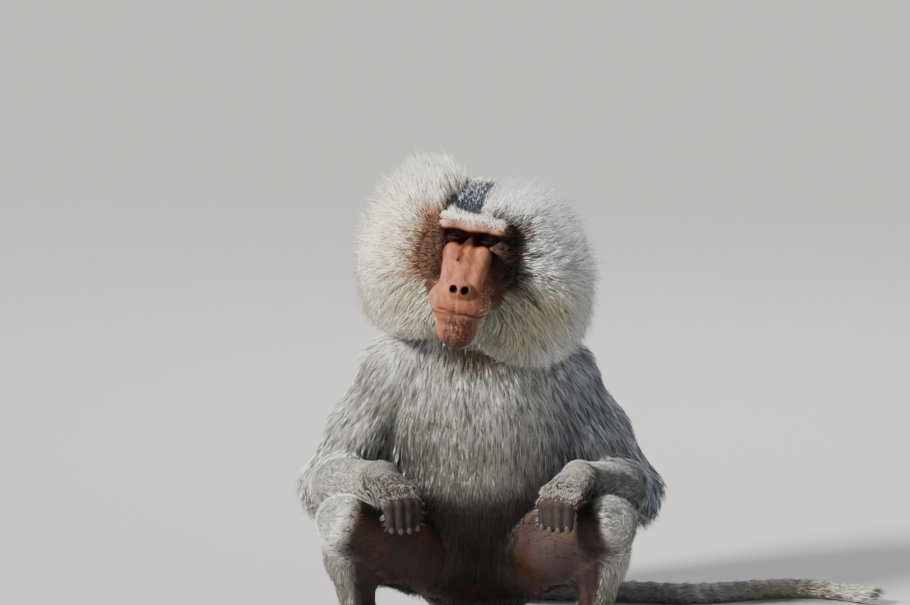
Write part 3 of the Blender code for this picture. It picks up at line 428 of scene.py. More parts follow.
def foot_frame(side):
    """Ankle, the middle of the toes' knuckles, and the foot's forward and inward directions."""
    ankle, toes = np.array(ANKLE[side]), np.array(TOES[side])
    forward = unit((toes - ankle) * (1, 1, 0))
    inward = unit(np.cross(forward, (0, 0, 1))) * side
    inward = -inward if inward[0] * side > 0 else inward
    return ankle, ankle + forward * 0.112 + np.array((0, 0, 0.016 - ankle[2])), forward, inward


def foot_lines(side):
    """The last joint and the tip of each toe."""
    ankle, tread, forward, inward = foot_frame(side)
    for place in TOE_PLACES:
        knuckle = tread + inward * place
        reach = 0.056 - abs(place + 0.004) * 0.5
        spread = inward * place * 0.45
        yield (knuckle + forward * reach * 0.5 + spread * 0.5 + np.array((0, 0, 0.003)),
               knuckle + forward * reach + spread + np.array((0, 0, -0.0085)))
    thumb_root = ankle + forward * 0.050 + inward * 0.020 + np.array((0, 0, 0.018 - ankle[2]))
    yield thumb_root, thumb_root + forward * 0.040 + inward * 0.026 + np.array((0, 0, -0.008))


def foot_form(side):
    """A long foot flat on the floor, four toes forward and the big toe splayed inwards."""
    ankle, tread, forward, inward = foot_frame(side)
    heel = ankle - forward * 0.020 + np.array((0, 0, 0.020 - ankle[2]))
    instep = mix(ankle, tread, 0.5) + (0, 0, 0.004)
    parts = [limb((ankle, end), (0.024, 0.021)) for end in (heel, instep)]
    *toes, thumb = foot_lines(side)
    for place, (middle, tip) in zip(TOE_PLACES, toes):
        knuckle = tread + inward * place
        parts.append(limb((mix(ankle, tread, 0.4) + inward * place * 0.5, knuckle), (0.018, 0.013)))
        parts.append(limb((knuckle, middle, tip), (0.0115, 0.0090, 0.0078), 0.004))
    parts.append(limb(thumb, (0.014, 0.0090)))
    return flat_below(merge(0.004, *parts))


def hand_lines(side):
    """The joints of wrist and fingers of a hand laid over the knee, fingers hanging in front."""
    wrist, elbow = np.array(WRIST[side]), np.array(ELBOW[side])
    forward = unit((wrist - elbow) * (1, 1, 0))
    forward = unit(forward + np.array((-0.10 * side, -0.35, 0)))
    inward = unit(np.cross(forward, (0, 0, 1)))
    inward = -inward if inward[0] * side > 0 else inward
    knuckles = wrist + forward * 0.066 + np.array((0, 0, -0.004))
    fingers = []
    for place in FINGER_PLACES:
        knuckle = knuckles + inward * place + np.array((0, 0, -0.2 * abs(place)))
        reach = 0.034 - abs(place) * 0.25
        joint = knuckle + forward * reach * 0.85 + np.array((0, 0, -reach * 0.42))
        tip = joint + forward * 0.004 + np.array((0, 0, -reach * 1.05))
        fingers.append((mix(wrist, knuckles, 0.3) + inward * place * 0.6, knuckle, joint, tip))
    thumb_root = mix(wrist, knuckles, 0.35) + inward * 0.018 + np.array((0, 0, -0.006))
    thumb_tip = thumb_root + forward * 0.026 + inward * 0.008 + np.array((0, 0, -0.020))
    return wrist, elbow, knuckles, fingers, (thumb_root, thumb_tip)


def hand_form(side):
    """Palm and fingers from the hand's joints."""
    wrist, elbow, knuckles, fingers, thumb = hand_lines(side)
    cuff = wrist - unit(wrist - elbow) * 0.02
    parts = [limb((cuff, wrist, mix(wrist, knuckles, 0.5)), (0.0235, 0.023, 0.019))]
    for root, knuckle, joint, tip in fingers:
        parts.append(limb((root, knuckle), (0.015, 0.0115)))
        parts.append(limb((knuckle, joint, tip), (0.0105, 0.0090, 0.0072), 0.004))
    parts.append(limb(thumb, (0.0115, 0.0075)))
    return merge(0.0035, *parts)


def add_object(name, data):
    """A new object in the scene, from a mesh, a lamp or a camera."""
    item = bpy.data.objects.new(name, data)
    bpy.context.scene.collection.objects.link(item)
    return item


def add_mesh(name, points, faces):
    """A new smooth object from points and faces: an array of faces that all have the same number
    of corners, or a list of faces with different numbers."""
    mesh = bpy.data.meshes.new(name)
    if isinstance(faces, list):
        mesh.from_pydata(points.tolist(), [], faces)
    else:
        mesh.vertices.add(len(points))
        mesh.vertices.foreach_set("co", np.asarray(points, np.float32).ravel())
        mesh.loops.add(faces.size)
        mesh.loops.foreach_set("vertex_index", np.asarray(faces, np.int32).ravel())
        mesh.polygons.add(len(faces))
        mesh.polygons.foreach_set("loop_start", np.arange(0, faces.size, faces.shape[1], dtype=np.int32))
    mesh.update(calc_edges=True)
    mesh.polygons.foreach_set("use_smooth", np.ones(len(mesh.polygons), bool))
    return add_object(name, mesh)


def give_colour(piece, name, colours):
    """A colour attribute from an array with one linear colour for each point."""
    layer = piece.data.attributes.new(name, "FLOAT_COLOR", "POINT")
    full = np.ones((len(colours), 4), np.float32)
    full[:, :3] = colours
    layer.data.foreach_set("color", full.ravel())


def smooth_step(low, high, value):
    """A share that rises smoothly from 0 at low to 1 at high."""
    share = np.clip((np.asarray(value) - low) / (high - low), 0, 1)
    return share * share * (3 - 2 * share)


def blotches(points, size, seed):
    """Smooth mottling between -1 and 1: a sum of sines along nine random directions."""
    chance = np.random.default_rng(seed)
    ways = unit(chance.normal(size=(9, 3))) * (2 * math.pi / size) * chance.uniform(0.6, 1.6, (9, 1))
    starts = chance.uniform(0, 2 * math.pi, 9)
    return np.sin(points @ ways.T + starts).sum(axis=1) / 4.5


def plain(row, number):
    """The same colour, or the same direction, for each of a number of points."""
    return np.tile(np.array(row), (number, 1))


def blend(base, colour, share):
    """Colours moved towards another colour by a share for each point."""
    return base * (1 - share[:, None]) + np.asarray(colour) * share[:, None]


def layered(base, *layers):
    """Colours with others blended over them in turn, each layer a colour and its share."""
    for colour, share in layers:
        base = blend(base, colour, share)
    return base


TRUNK, UPPER_ARM, FOREARM, THIGH, SHIN, TAIL_FUR = range(6)


def segments():
    """Axes of the body: start, end, radius, and the region of the coat that each belongs to."""
    rows = [((0, -0.060, 0.560), (0, -0.01, 0.42), 0.060, TRUNK),
            ((0, -0.01, 0.42), (0, -0.02, 0.06), 0.095, TRUNK)]
    for side in (LEFT, RIGHT):
        rows += [(SHOULDER[side], ELBOW[side], 0.043, UPPER_ARM), (ELBOW[side], WRIST[side], 0.031, FOREARM),
                 (HIP[side], KNEE[side], 0.050, THIGH), (KNEE[side], ANKLE[side], 0.031, SHIN)]
    rows += [(a, b, 0.014, TAIL_FUR) for a, b in zip(TAIL[2:-2:3], TAIL[5::3])]
    starts, ends, radii, regions = zip(*rows)
    return np.array(starts), np.array(ends), np.array(radii), np.array(regions)


def lie_at(points):
    """The lie of the coat: directions of the near axes weighted by nearness, then for the nearest
    axis its region and number, the share along it, and the unit way out from it."""
    starts, ends, radii, regions = segments()
    along = ends - starts
    share = np.einsum("nsk,sk->ns", points[:, None] - starts, along) / np.einsum("sk,sk->s", along, along)
    nearest = starts + along * np.clip(share, 0, 1)[..., None]
    gap = np.linalg.norm(points[:, None] - nearest, axis=-1) - radii
    weight = np.exp(-np.maximum(gap, -0.02) / 0.010)
    weight = weight / weight.sum(axis=1, keepdims=True)
    pick = np.argmin(gap, axis=1)
    row = np.arange(len(points))
    return weight @ unit(along), regions[pick], pick, share[row, pick], unit(points - nearest[row, pick])


def bare_share(points, region, way_out):
    """How bare the skin is: the inner sides of thighs and shins, and the groin."""
    x, y, z = points.T
    inner = smooth_step(-0.05, 0.45, -np.sign(x) * way_out[:, 0] - 0.35 * way_out[:, 2])
    leg = (region == THIGH) | (region == SHIN)
    groin = smooth_step(0.11, 0.07, z) * smooth_step(-0.02, -0.05, y) * (region == TRUNK)
    return np.maximum(inner * leg * smooth_step(0.02, 0.05, z), groin)


def coat_base(points, region, share, way_out):
    """Markings of skin and coat alike: silver mantle and arms, grey-brown thighs, white shins, dark
    red-brown skin where the legs are bare, and a grey tail that pales to its end. Light and shade are
    painted in too: the animal's right upper arm paler as its lit side, blue-grey over its left side and a
    darker left forearm as painted shade, and painted shade as dark belly, throat and low flanks."""
    x, y, z = points.T
    trunk, upper_arm, forearm, thigh, shin, tail = (1.0 * (region == number) for number in range(6))
    flank = smooth_step(0.10, 0.125, np.abs(x)) * smooth_step(0.32, 0.28, z)
    throat = smooth_step(-0.06, -0.09, y) * smooth_step(0.38, 0.43, z) * smooth_step(0.08, 0.03, np.abs(x))
    belly = smooth_step(-0.04, -0.07, y) * smooth_step(0.27, 0.20, z) * trunk
    shaded = (trunk + upper_arm) * smooth_step(0.055, 0.135, x) * smooth_step(0.10, 0.20, z)
    fringe = smooth_step(0.2, 0.7, -way_out[:, 2]) * smooth_step(0.5, 0.2, share) * forearm
    bare = bare_share(points, region, way_out)
    return layered(
        plain((0.74, 0.72, 0.68), len(points)),
        ((0.30, 0.28, 0.26), smooth_step(0.26, 0.15, z)),
        # painted shade: dark low on the sides, between the arms and the chest
        ((0.10, 0.09, 0.085), flank),
        # painted shade: dark on the throat under the chin and ruffs
        ((0.13, 0.075, 0.05), throat * trunk),
        # painted shade: dark on the belly below the chest's hair
        ((0.060, 0.045, 0.040), belly * 0.9),
        # painted light: the animal's right upper arm paler, as its lit side
        ((0.80, 0.78, 0.74), upper_arm * (x < 0)),
        # painted shade: blue-grey over the animal's left trunk and upper arm, its shaded side
        ((0.46, 0.49, 0.55), shaded),
        ((0.56, 0.55, 0.52), forearm * (x < 0)),
        # painted shade: the animal's left forearm darker than its right
        ((0.38, 0.38, 0.38), forearm * (x > 0)),
        ((0.66, 0.65, 0.62), fringe * 0.8),
        ((0.34, 0.31, 0.28), thigh),
        ((0.62, 0.61, 0.58), shin * smooth_step(0.02, 0.20, share)),
        ((0.62, 0.61, 0.58), thigh * smooth_step(0.80, 1.0, share)),
        ((0.26, 0.25, 0.24), tail),
        ((0.44, 0.40, 0.33), tail * smooth_step(0.30, 0.50, x)),
        ((0.036, 0.019, 0.018), bare),
        ((0.10, 0.040, 0.016), bare * smooth_step(0.0, 1.0, blotches(points, 0.09, 13)) * 0.6))


FACE_TONE = (0.54, 0.42, 0.36)


def face_colours(points):
    """The bare face: pale brow and bridge, a red-brown nose, dark lips and a mottled chin, all toned by one
    factor, and fur-coloured behind. Painted shade darkens the band under the brow, the eyes and the skin
    below them, the cheeks and the face's edges, a crease on the bridge, the animal's left side of the lower
    face and the nostrils."""
    x, y, z = in_head(points).T
    across = np.abs(x)
    ridge = smooth_step(0.014, 0.005, np.abs(across - 0.019)) * smooth_step(-0.020, -0.040, y)
    hollow = smooth_step(0.012, 0.007, z) * smooth_step(-0.017, -0.009, z) * smooth_step(-0.052, -0.036, y)
    under_eye_shade = np.exp(-((across - EYE_SPREAD) / 0.012) ** 2) * smooth_step(-0.026, -0.016, z)
    under_eye_shade = under_eye_shade * smooth_step(-0.04, -0.03, y)
    side = smooth_step(0.027, 0.036, across) * smooth_step(-0.084, -0.062, y)
    side = side * smooth_step(-0.086, -0.064, z) * smooth_step(0.014, 0.006, z)
    edge = smooth_step(0.052, 0.060, across) * smooth_step(-0.03, -0.005, y)
    crease = np.exp(-((x + 0.0055) / 0.0034) ** 2) * smooth_step(-0.045, -0.055, y)
    crease = crease * smooth_step(-0.090, -0.080, y)
    eye = np.exp(-(((across - EYE_SPREAD) / 0.0145) ** 2 + ((z + 0.003) / 0.0088) ** 2) ** 2)
    base = layered(
        plain((0.52, 0.225, 0.135), len(points)),
        ((0.86, 0.60, 0.50), smooth_step(0.009, 0.015, z) * smooth_step(0.02, -0.004, y)),
        ((0.60, 0.275, 0.175), ridge * smooth_step(-0.075, -0.055, z) * 0.7),
        # painted shadow of the brow: a dark band at the eyes' level, across the bridge too
        ((0.085, 0.020, 0.012), hollow * 0.95),
        # painted shade below the eyes
        ((0.13, 0.032, 0.018), under_eye_shade * 0.6),
        # painted shade on the muzzle's sides and the cheeks
        ((0.052, 0.018, 0.011), side * 0.95),
        # painted shade at the face's outer edges beside the ruffs
        ((0.10, 0.045, 0.024), edge * 0.8),
        # painted shade in the crease on the bridge
        ((0.12, 0.040, 0.024), crease * 0.8),
        # painted shade: the animal's left half of the lower muzzle darker
        ((0.19, 0.075, 0.045), smooth_step(0.000, 0.022, x) * smooth_step(-0.045, -0.062, z) * 0.55),
        # painted shade round the eyes, near black
        ((0.022, 0.008, 0.006), eye * smooth_step(-0.045, -0.030, y)))
    streaks = blotches(np.stack((x * 5, y, z), axis=-1), 0.016, 8) * smooth_step(0.0, -0.03, y)
    base = base * (1 - 0.26 * np.clip(streaks, -0.6, 1))[:, None]
    mottle = blotches(points, 0.006, 3)
    chin = smooth_step(-0.098, -0.108, z) * smooth_step(0.030, 0.014, np.abs(x - 0.005))
    stubble = smooth_step(0.020, 0.008, np.abs(x - 0.006)) * np.exp(-((z + 0.096) / 0.009) ** 2)
    stubble = stubble * smooth_step(-0.08, -0.10, y)
    lip = np.exp(-((z + 0.098) / 0.0035) ** 2) * smooth_step(-0.05, -0.08, y)
    nose = smooth_step(0.016, 0.008, np.hypot(x - 0.0015, z + 0.062)) * smooth_step(-0.10, -0.112, y)
    nostril = smooth_step(0.0070, 0.0054, np.hypot(np.abs(x - 0.0018) - 0.0084, z + 0.0602))
    base = layered(
        base,
        ((0.060, 0.030, 0.022), chin * np.clip(0.70 + 0.60 * mottle, 0, 1)),
        ((0.10, 0.045, 0.035), stubble * np.clip(0.6 + 0.5 * mottle, 0, 1)),
        ((0.10, 0.035, 0.030), smooth_step(-0.132, -0.146, z) * 0.6),
        ((0.16, 0.060, 0.045), lip * 0.65),
        ((0.40, 0.145, 0.085), nose * 0.6),
        # painted shade inside the nostrils
        ((0.020, 0.008, 0.007), nostril * smooth_step(-0.10, -0.110, y)))
    coarse, fine = blotches(points, 0.020, 1)[:, None], blotches(points, 0.005, 2)[:, None]
    base = base * (1 + 0.10 * coarse + 0.09 * fine)
    philtrum = np.exp(-((x - 0.0005) / 0.0016) ** 2) * smooth_step(-0.094, -0.088, z)
    philtrum = philtrum * smooth_step(-0.066, -0.072, z) * smooth_step(-0.10, -0.11, y)
    hairy = np.maximum(smooth_step(0.010, 0.030, y), smooth_step(0.026, 0.034, z))
    return blend(blend(base, (0.75, 0.48, 0.38), philtrum * 0.8) * FACE_TONE, (0.30, 0.24, 0.17), hairy)


def body_colours(points):
    """Skin under the coat in the coat's own markings, a quarter darker, and a dull cream bed under the
    ruffs, its darkness painted shade of the hair above it.
    """
    _, region, _, share, way_out = lie_at(points)
    ruffs = smooth_step(0.43, 0.47, points[:, 2]) * (np.abs(points[:, 0]) > 0.03)
    # the ruffs' bed of underwool, painted dark as the shade of the hair above it
    base = blend(coat_base(points, region, share, way_out) * 0.75, (0.42, 0.39, 0.31), ruffs)
    return base * (1 + 0.14 * blotches(points, 0.02, 4)[:, None])


def hand_colours(points):
    """Hands and feet: dark brown skin with redder patches, painted shade darkening the hanging fingers
    towards their ends, and grey on the backs of the hands, where fur grows."""
    _, y, z = points.T
    base = plain((0.018, 0.011, 0.0095), len(points))
    base = blend(base, (0.060, 0.022, 0.014), smooth_step(0.1, 0.9, blotches(points, 0.014, 5)) * 0.5)
    # painted shade on the hanging fingers
    base = base * (1 - 0.45 * smooth_step(0.235, 0.205, z) * (z > 0.15))[:, None]
    base = blend(base, (0.17, 0.16, 0.145), smooth_step(0.262, 0.275, z) * smooth_step(-0.232, -0.216, y))
    return base * (1 + 0.2 * blotches(points, 0.006, 6)[:, None])


def pad_colours(points):
    """The seat pad: horny pink-grey skin."""
    return plain((0.40, 0.19, 0.16), len(points)) * (1 + 0.2 * blotches(points, 0.012, 7)[:, None])


def ruff_cores():
    """The dense underwool that fills each ruff below its long hair."""
    return [form for side in (LEFT, RIGHT) for form in (
        head_ball(0.076 * side, 0.070, 0.004, (0.050, 0.044, 0.052)),
        head_ball(0.086 * side, 0.070, -0.078, (0.064, 0.046, 0.072)))]


SKULL = skull_form()
SKULL_FRONT_CUT, FACE_BACK_CUT = 0.012, 0.024
SKULL_BACK = Form(lambda points: np.maximum(SKULL.at(points), SKULL_FRONT_CUT - in_head(points)[:, 1]),
                  SKULL.low, SKULL.high)
LIMBS_AND_TRUNK = body_form()
FLESH = merge(0.010, LIMBS_AND_TRUNK, SKULL)
BODY = sunk(merge(0.010, LIMBS_AND_TRUNK, SKULL_BACK, *ruff_cores()), FUR_DEPTH)
WHOLE_HEAD = head_form()
FACE = Form(lambda points: np.maximum(WHOLE_HEAD.at(points), in_head(points)[:, 1] - FACE_BACK_CUT),
            WHOLE_HEAD.low, WHOLE_HEAD.high)
PARTS = {"face": (FACE, 0.00176, face_colours), "body": (BODY, 0.0070, body_colours),
         "pad": (pad_form(), 0.0044, pad_colours)}
for side in (LEFT, RIGHT):
    PARTS["ear", side] = (ear_form(side), 0.0029, face_colours)
    PARTS["hand", side] = (hand_form(side), 0.0025, hand_colours)
    PARTS["foot", side] = (foot_form(side), 0.0031, hand_colours)
nets = {name: net_of(form, cell) for name, (form, cell, _) in PARTS.items()}
starts = np.cumsum([0] + [len(points) for points, faces in nets.values()])
skin = add_mesh("skin", np.concatenate([points for points, faces in nets.values()]),
                np.concatenate([faces + start for (points, faces), start in zip(nets.values(), starts)]))
tints = np.concatenate([PARTS[name][2](points) for name, (points, faces) in nets.items()])
give_colour(skin, "tint", np.clip(tints, 0.005, 1))


class Wire:
    """One shader socket, with Python's arithmetic: each operator adds a Math node."""

    def __init__(self, sheet, socket):
        self.sheet = sheet
        self.socket = socket

    def maths(self, operation, other):
        """A Math node's result, from this wire and another wire or a number."""
        return self.sheet.node("ShaderNodeMath", {0: self, 1: other}, operation=operation)[0]

    def __add__(self, other):
        return self.maths("ADD", other)

    def __mul__(self, other):
        return self.maths("MULTIPLY", other)

    __radd__ = __add__
    __rmul__ = __mul__


class Sheet:
    """A new material, with one function for each kind of node."""

    def __init__(self, name):
        self.material = bpy.data.materials.new(name)
        self.material.use_nodes = True
        self.tree = self.material.node_tree
        self.shader = self.tree.nodes["Principled BSDF"]

    def node(self, kind, sockets=(), **settings):
        """A new node with its settings and inputs, as the wires of its outputs."""
        made = self.tree.nodes.new(kind)
        for name, value in settings.items():
            setattr(made, name, value)
        self.plug(made, sockets)
        return [Wire(self, out) for out in made.outputs if out.enabled]

    def plug(self, made, sockets):
        """Links a node's inputs to wires, or sets them to values."""
        for name, value in dict(sockets).items():
            if isinstance(value, Wire):
                self.tree.links.new(value.socket, made.inputs[name])
            else:
                made.inputs[name].default_value = value

    def tint(self):
        """The colour that each point of the mesh carries."""
        return self.node("ShaderNodeAttribute", attribute_name="tint")[0]

    def mixed(self, share, a, b, how="MIX"):
        """Two colours mixed by a share."""
        return self.node("ShaderNodeMix", {0: share, 6: a, 7: b}, data_type="RGBA", blend_type=how)[0]

    def noise(self, scale, detail):
        """Noise on Object coordinates, between 0 and 1."""
        where = self.node("ShaderNodeTexCoord")[3]
        return self.node("ShaderNodeTexNoise", {"Vector": where, "Scale": scale, "Detail": detail,
                                                "Roughness": 0.6})[0]

    def bump(self, height, distance, strength):
        """A bump from a height."""
        return self.node("ShaderNodeBump", {"Height": height, "Distance": distance, "Strength": strength})[0]


sheet = Sheet("bare skin")
tint = sheet.tint()
pores = sheet.noise(1400.0, 2.0)
folds = sheet.noise(260.0, 4.0)
shade = sheet.mixed(folds, (0.55, 0.50, 0.48, 1), (1.25, 1.2, 1.15, 1))
fade = sheet.mixed(0.35, tint, shade, "MULTIPLY")
height = pores * 0.35 + folds * 0.65
sheet.plug(sheet.shader, {"Base Color": fade, "Roughness": 0.50 + folds * 0.22,
                          "Normal": sheet.bump(height, 0.0022, 0.8),
                          "Subsurface Weight": 0.08, "Subsurface Radius": (0.010, 0.004, 0.002),
                          "Subsurface Scale": 0.3, "Specular IOR Level": 0.30})
skin.data.materials.append(sheet.material)
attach(skin, "root")
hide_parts("head", "ear_left", "ear_right", "neck", "torso", "pelvis", "seat_pad",
            "upper_arm_left", "upper_arm_right", "forearm_left", "forearm_right", "hand_left", "hand_right",
            "thigh_left", "thigh_right", "shin_left", "shin_right", "foot_left", "foot_right",
            "tail_1", "tail_2", "tail_3", "tail_4")


# Eyes.
# Dark brown eyeballs, wet and deep under the brow, each with a small black pupil. They sit in
# the sockets of the skin, looking the way the head looks.
EYE_SIDES, EYE_ROWS = 48, 23
BALL_SHARE, CORNEA_SHARE = 0.97, 1.028


def make_eye(side):
    """A ball by longitude and latitude round the line of sight, with a slightly raised cornea."""
    across, down = np.meshgrid(np.linspace(0, 2 * math.pi, EYE_SIDES, endpoint=False),
                               np.linspace(0, math.pi, EYE_ROWS + 2)[1:-1])
    swell = 1 + 0.06 * smooth_step(0.55, 0.25, down)
    ring = np.stack((np.sin(down) * np.cos(across), -np.cos(down), np.sin(down) * np.sin(across)), axis=-1)
    points = (ring * swell[..., None] * EYE_RADIUS * BALL_SHARE).reshape(-1, 3)
    points = np.vstack((points, (0, -EYE_RADIUS * CORNEA_SHARE, 0), (0, EYE_RADIUS * BALL_SHARE, 0)))
    index = np.arange(EYE_ROWS * EYE_SIDES).reshape(EYE_ROWS, EYE_SIDES)
    near = np.roll(index, -1, axis=1)
    faces = np.stack((index[:-1], index[1:], near[1:], near[:-1]), axis=-1).reshape(-1, 4)
    front = np.stack((index[0], near[0], np.full(EYE_SIDES, len(points) - 2)), axis=-1)
    back = np.stack((near[-1], index[-1], np.full(EYE_SIDES, len(points) - 1)), axis=-1)
    piece = add_mesh("eyeball_" + ("left" if side == LEFT else "right"),
                     points @ HEAD_AXES.T + head_point(EYE_SPREAD * side, 0, 0),
                     faces.tolist() + front.tolist() + back.tolist())
    angle = np.arccos(np.clip(-points[:, 1] / np.linalg.norm(points, axis=1), -1, 1))
    give_colour(piece, "tint", layered(
        plain((0.035, 0.020, 0.014), len(points)),
        ((0.020, 0.009, 0.005), smooth_step(0.62, 0.54, angle)),
        ((0.004, 0.003, 0.003), smooth_step(0.26, 0.20, angle))))
    return piece


sheet = Sheet("wet eye")
sheet.plug(sheet.shader, {"Base Color": sheet.tint(), "Roughness": 0.10, "Specular IOR Level": 0.20,
                          "Coat Weight": 0.10, "Coat Roughness": 0.03})
for side, node in ((LEFT, "eye_left"), (RIGHT, "eye_right")):
    eye = make_eye(side)
    eye.data.materials.append(sheet.material)
    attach(eye, "root")
    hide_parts(node)


# Nails.
# Small dark horny nails, one on each finger and toe, rounded across and bent over the tip.
NAIL_SIDES, NAIL_ROWS = 14, 8
NAIL_HEIGHT = 0.0009
FINGERNAIL, TOENAIL = (0.0105, 0.0082), (0.0110, 0.0086)


def nail_shell(tip, ahead, top, length, width):
    """A flattened ball lying on a finger's end, its far half bent down by the square of its reach.
    Its faces at both ends have their last corner twice."""
    across, down = np.meshgrid(np.linspace(0, 2 * math.pi, NAIL_SIDES, endpoint=False),
                               np.linspace(0, math.pi, NAIL_ROWS + 2)[1:-1])
    x = np.append(np.sin(down) * np.cos(across), (0, 0))
    y = np.append(np.cos(down), (1, -1))
    z = np.append(np.sin(down) * np.sin(across), (0, 0))
    side = np.cross(ahead, top)
    rise = z * NAIL_HEIGHT - (x * width / 2) ** 2 * 90 - np.clip(y + 0.2, 0, None) ** 2 * 0.0016
    points = tip + side * (x * width / 2)[:, None] + ahead * (y * length / 2)[:, None] + top * rise[:, None]
    index = np.arange(NAIL_ROWS * NAIL_SIDES).reshape(NAIL_ROWS, NAIL_SIDES)
    near = np.roll(index, -1, axis=1)
    quads = np.stack((index[:-1], near[:-1], near[1:], index[1:]), axis=-1).reshape(-1, 4)
    first = np.stack((np.full(NAIL_SIDES, len(x) - 2), near[0], index[0], index[0]), axis=-1)
    last = np.stack((np.full(NAIL_SIDES, len(x) - 1), index[-1], near[-1], near[-1]), axis=-1)
    return points, np.concatenate((quads, first, last))


def hand_nails(side):
    """One nail on the outer face of each finger's end."""
    wrist, _, knuckles, fingers, thumb = hand_lines(side)
    for start, end in [finger[2:] for finger in fingers] + [thumb]:
        ahead = unit(end - start)
        away = unit(knuckles - wrist)
        top = unit(away - ahead * (away @ ahead))
        yield end + top * 0.0068 + ahead * 0.0030, ahead, top, *FINGERNAIL


def foot_nails(side):
    """One nail on top of each toe's end."""
    for start, end in foot_lines(side):
        ahead = unit((end - start) * (1, 1, 0.6))
        top = unit(np.array((0, 0, 1.0)) - ahead * ahead[2])
        yield end + top * 0.0066 + ahead * 0.0035, ahead, top, *TOENAIL


shells = [nail_shell(*nail) for side in (LEFT, RIGHT) for nail in (*hand_nails(side), *foot_nails(side))]
nails = add_mesh("nails", np.concatenate([points for points, faces in shells]),
                 [list(dict.fromkeys(face)) for number, (points, faces) in enumerate(shells)
                  for face in (faces + number * len(points)).tolist()])
sheet = Sheet("nail horn")
grain = sheet.noise(900.0, 3.0)
horn = sheet.mixed(grain, (0.018, 0.013, 0.011, 1), (0.075, 0.055, 0.045, 1))
sheet.plug(sheet.shader, {"Base Color": horn, "Roughness": 0.28 + grain * 0.2, "Specular IOR Level": 0.5})
nails.data.materials.append(sheet.material)
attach(nails, "root")


# Hair: how every lock is made.
# Each hair is a thin tapered lock with three sides, closed at its root and pointed at its tip.
# The long hair grows in small clumps that share one bent line and close up a little towards the
# tips. Short fur grows singly.
LOCK_PROFILE = (0.8, 1.0)
LOCK_HEIGHT = 0.45
LOWEST_HAIR = 0.0015
UV_PATCH = 0.003
ROOT_DEPTH = 0.0015


def lock_piece(name, paths, facing, widths, colours, spots, unwrap):
    """One object from the lines of many hairs.

    paths holds hairs x (rows + 1) x 3 points, the last of them the tip. Each row gives three
    points: one to either side, half a width out, and one above them towards facing. The width of
    each row follows LOCK_PROFILE, and the height is a share of the width. Each hair has a small
    patch of the UV map, where unwrap places its root.
    """
    hairs, rows = paths.shape[0], paths.shape[1] - 1
    along = unit(np.gradient(paths, axis=1))[:, :rows]
    aside = unit(np.cross(along, facing[:, None]))
    lift = np.cross(aside, along)
    half = widths[:, None, None] * np.asarray(LOCK_PROFILE[:rows])[:, None] / 2
    middle = paths[:, :rows]
    ridge = middle + lift * half * 2 * LOCK_HEIGHT
    ring = np.stack((middle + aside * half, ridge, middle - aside * half), axis=2)
    points = np.concatenate((ring.reshape(hairs, rows * 3, 3), paths[:, -1:]), axis=1)
    size = rows * 3 + 1
    faces = [(0, 1, 2)]
    for row in range(rows - 1):
        for k in range(3):
            a, b = row * 3 + k, row * 3 + (k + 1) % 3
            faces += [(a, a + 3, b + 3), (a, b + 3, b)]
    last = (rows - 1) * 3
    faces += [(last + k, size - 1, last + (k + 1) % 3) for k in range(3)]
    faces = (np.arange(hairs)[:, None, None] * size + np.array(faces)).reshape(-1, 3)
    piece = add_mesh(name, points.reshape(-1, 3), faces)
    give_colour(piece, "tint", np.repeat(np.clip(colours, 0.004, 1), size, axis=0))
    share = np.concatenate((np.repeat(np.linspace(0, 1, rows + 1)[:-1], 3), (1.0,)))
    layer = piece.data.attributes.new("along", "FLOAT", "POINT")
    layer.data.foreach_set("value", np.tile(share, hairs).astype(np.float32))
    patch = np.stack((np.tile((0.0, 0.5, 1.0), rows), share[:-1]), axis=-1)
    patch = np.vstack((patch, (0.5, 1.0))) * UV_PATCH - UV_PATCH / 2
    places = (unwrap(spots)[:, None] + patch).reshape(-1, 2)
    bake = piece.data.uv_layers.new(name="OFBake")
    bake.data.foreach_set("uv", np.clip(places, 0.001, 0.999)[faces.ravel()].astype(np.float32).ravel())
    return piece


def clumped(guides, facing, count, spread, chance, close, wave):
    """Hairs round guide lines: each is its guide shifted aside, closing up towards the tip by a
    share, scaled in length, and waved by a sine that grows along it."""
    number, rows = guides.shape[0], guides.shape[1]
    share = np.linspace(0, 1, rows)[:, None]
    along = unit(guides[:, -1] - guides[:, 0])
    aside = unit(np.cross(along, facing))
    offset = chance.normal(0, 1, (number, count, 2)) * (spread, spread * 0.4)
    offset = aside[:, None] * offset[..., :1] + facing[:, None] * offset[..., 1:]
    slide = along[:, None] * chance.uniform(-1, 1, (number, count, 1)) * spread * 2.0
    hairs = guides[:, None] + slide[:, :, None]
    hairs = hairs + offset[:, :, None] * (1 - close * share ** 0.8)
    length = chance.uniform(0.70, 1.05, (number, count, 1, 1))
    hairs = hairs[:, :, :1] + (hairs - hairs[:, :, :1]) * length
    swing = chance.normal(0, 1, (number, count, 1, 3)) * wave
    start = chance.uniform(0, 6.3, (number, count, 1, 1))
    hairs = hairs + swing * np.sin(share * 5.0 + start) * share
    return hairs.reshape(-1, rows, 3), np.repeat(facing, count, axis=0)


def bent_lines(roots, controls, tips, rows):
    """Lines along parabolas from root to tip, pulled towards a control point."""
    t = np.linspace(0, 1, rows + 1)[:, None]
    return roots[:, None] * (1 - t) ** 2 + controls[:, None] * 2 * t * (1 - t) + tips[:, None] * t ** 2


def clear_of(form, paths, gap):
    """Lines pushed out of a form where they come nearer than a gap, and kept above the floor,
    except at their roots."""
    shape = paths.shape
    rows = paths[:, 1:].reshape(-1, 3)
    for _ in range(2):
        distance = form.at(rows)
        low = np.nonzero(distance < gap)[0]
        rows[low] += form.outward(rows[low]) * (gap - distance[low])[:, None]
    rows[:, 2] = np.maximum(rows[:, 2], LOWEST_HAIR)
    return np.concatenate((paths[:, :1], rows.reshape(shape[0], shape[1] - 1, 3)), axis=1)


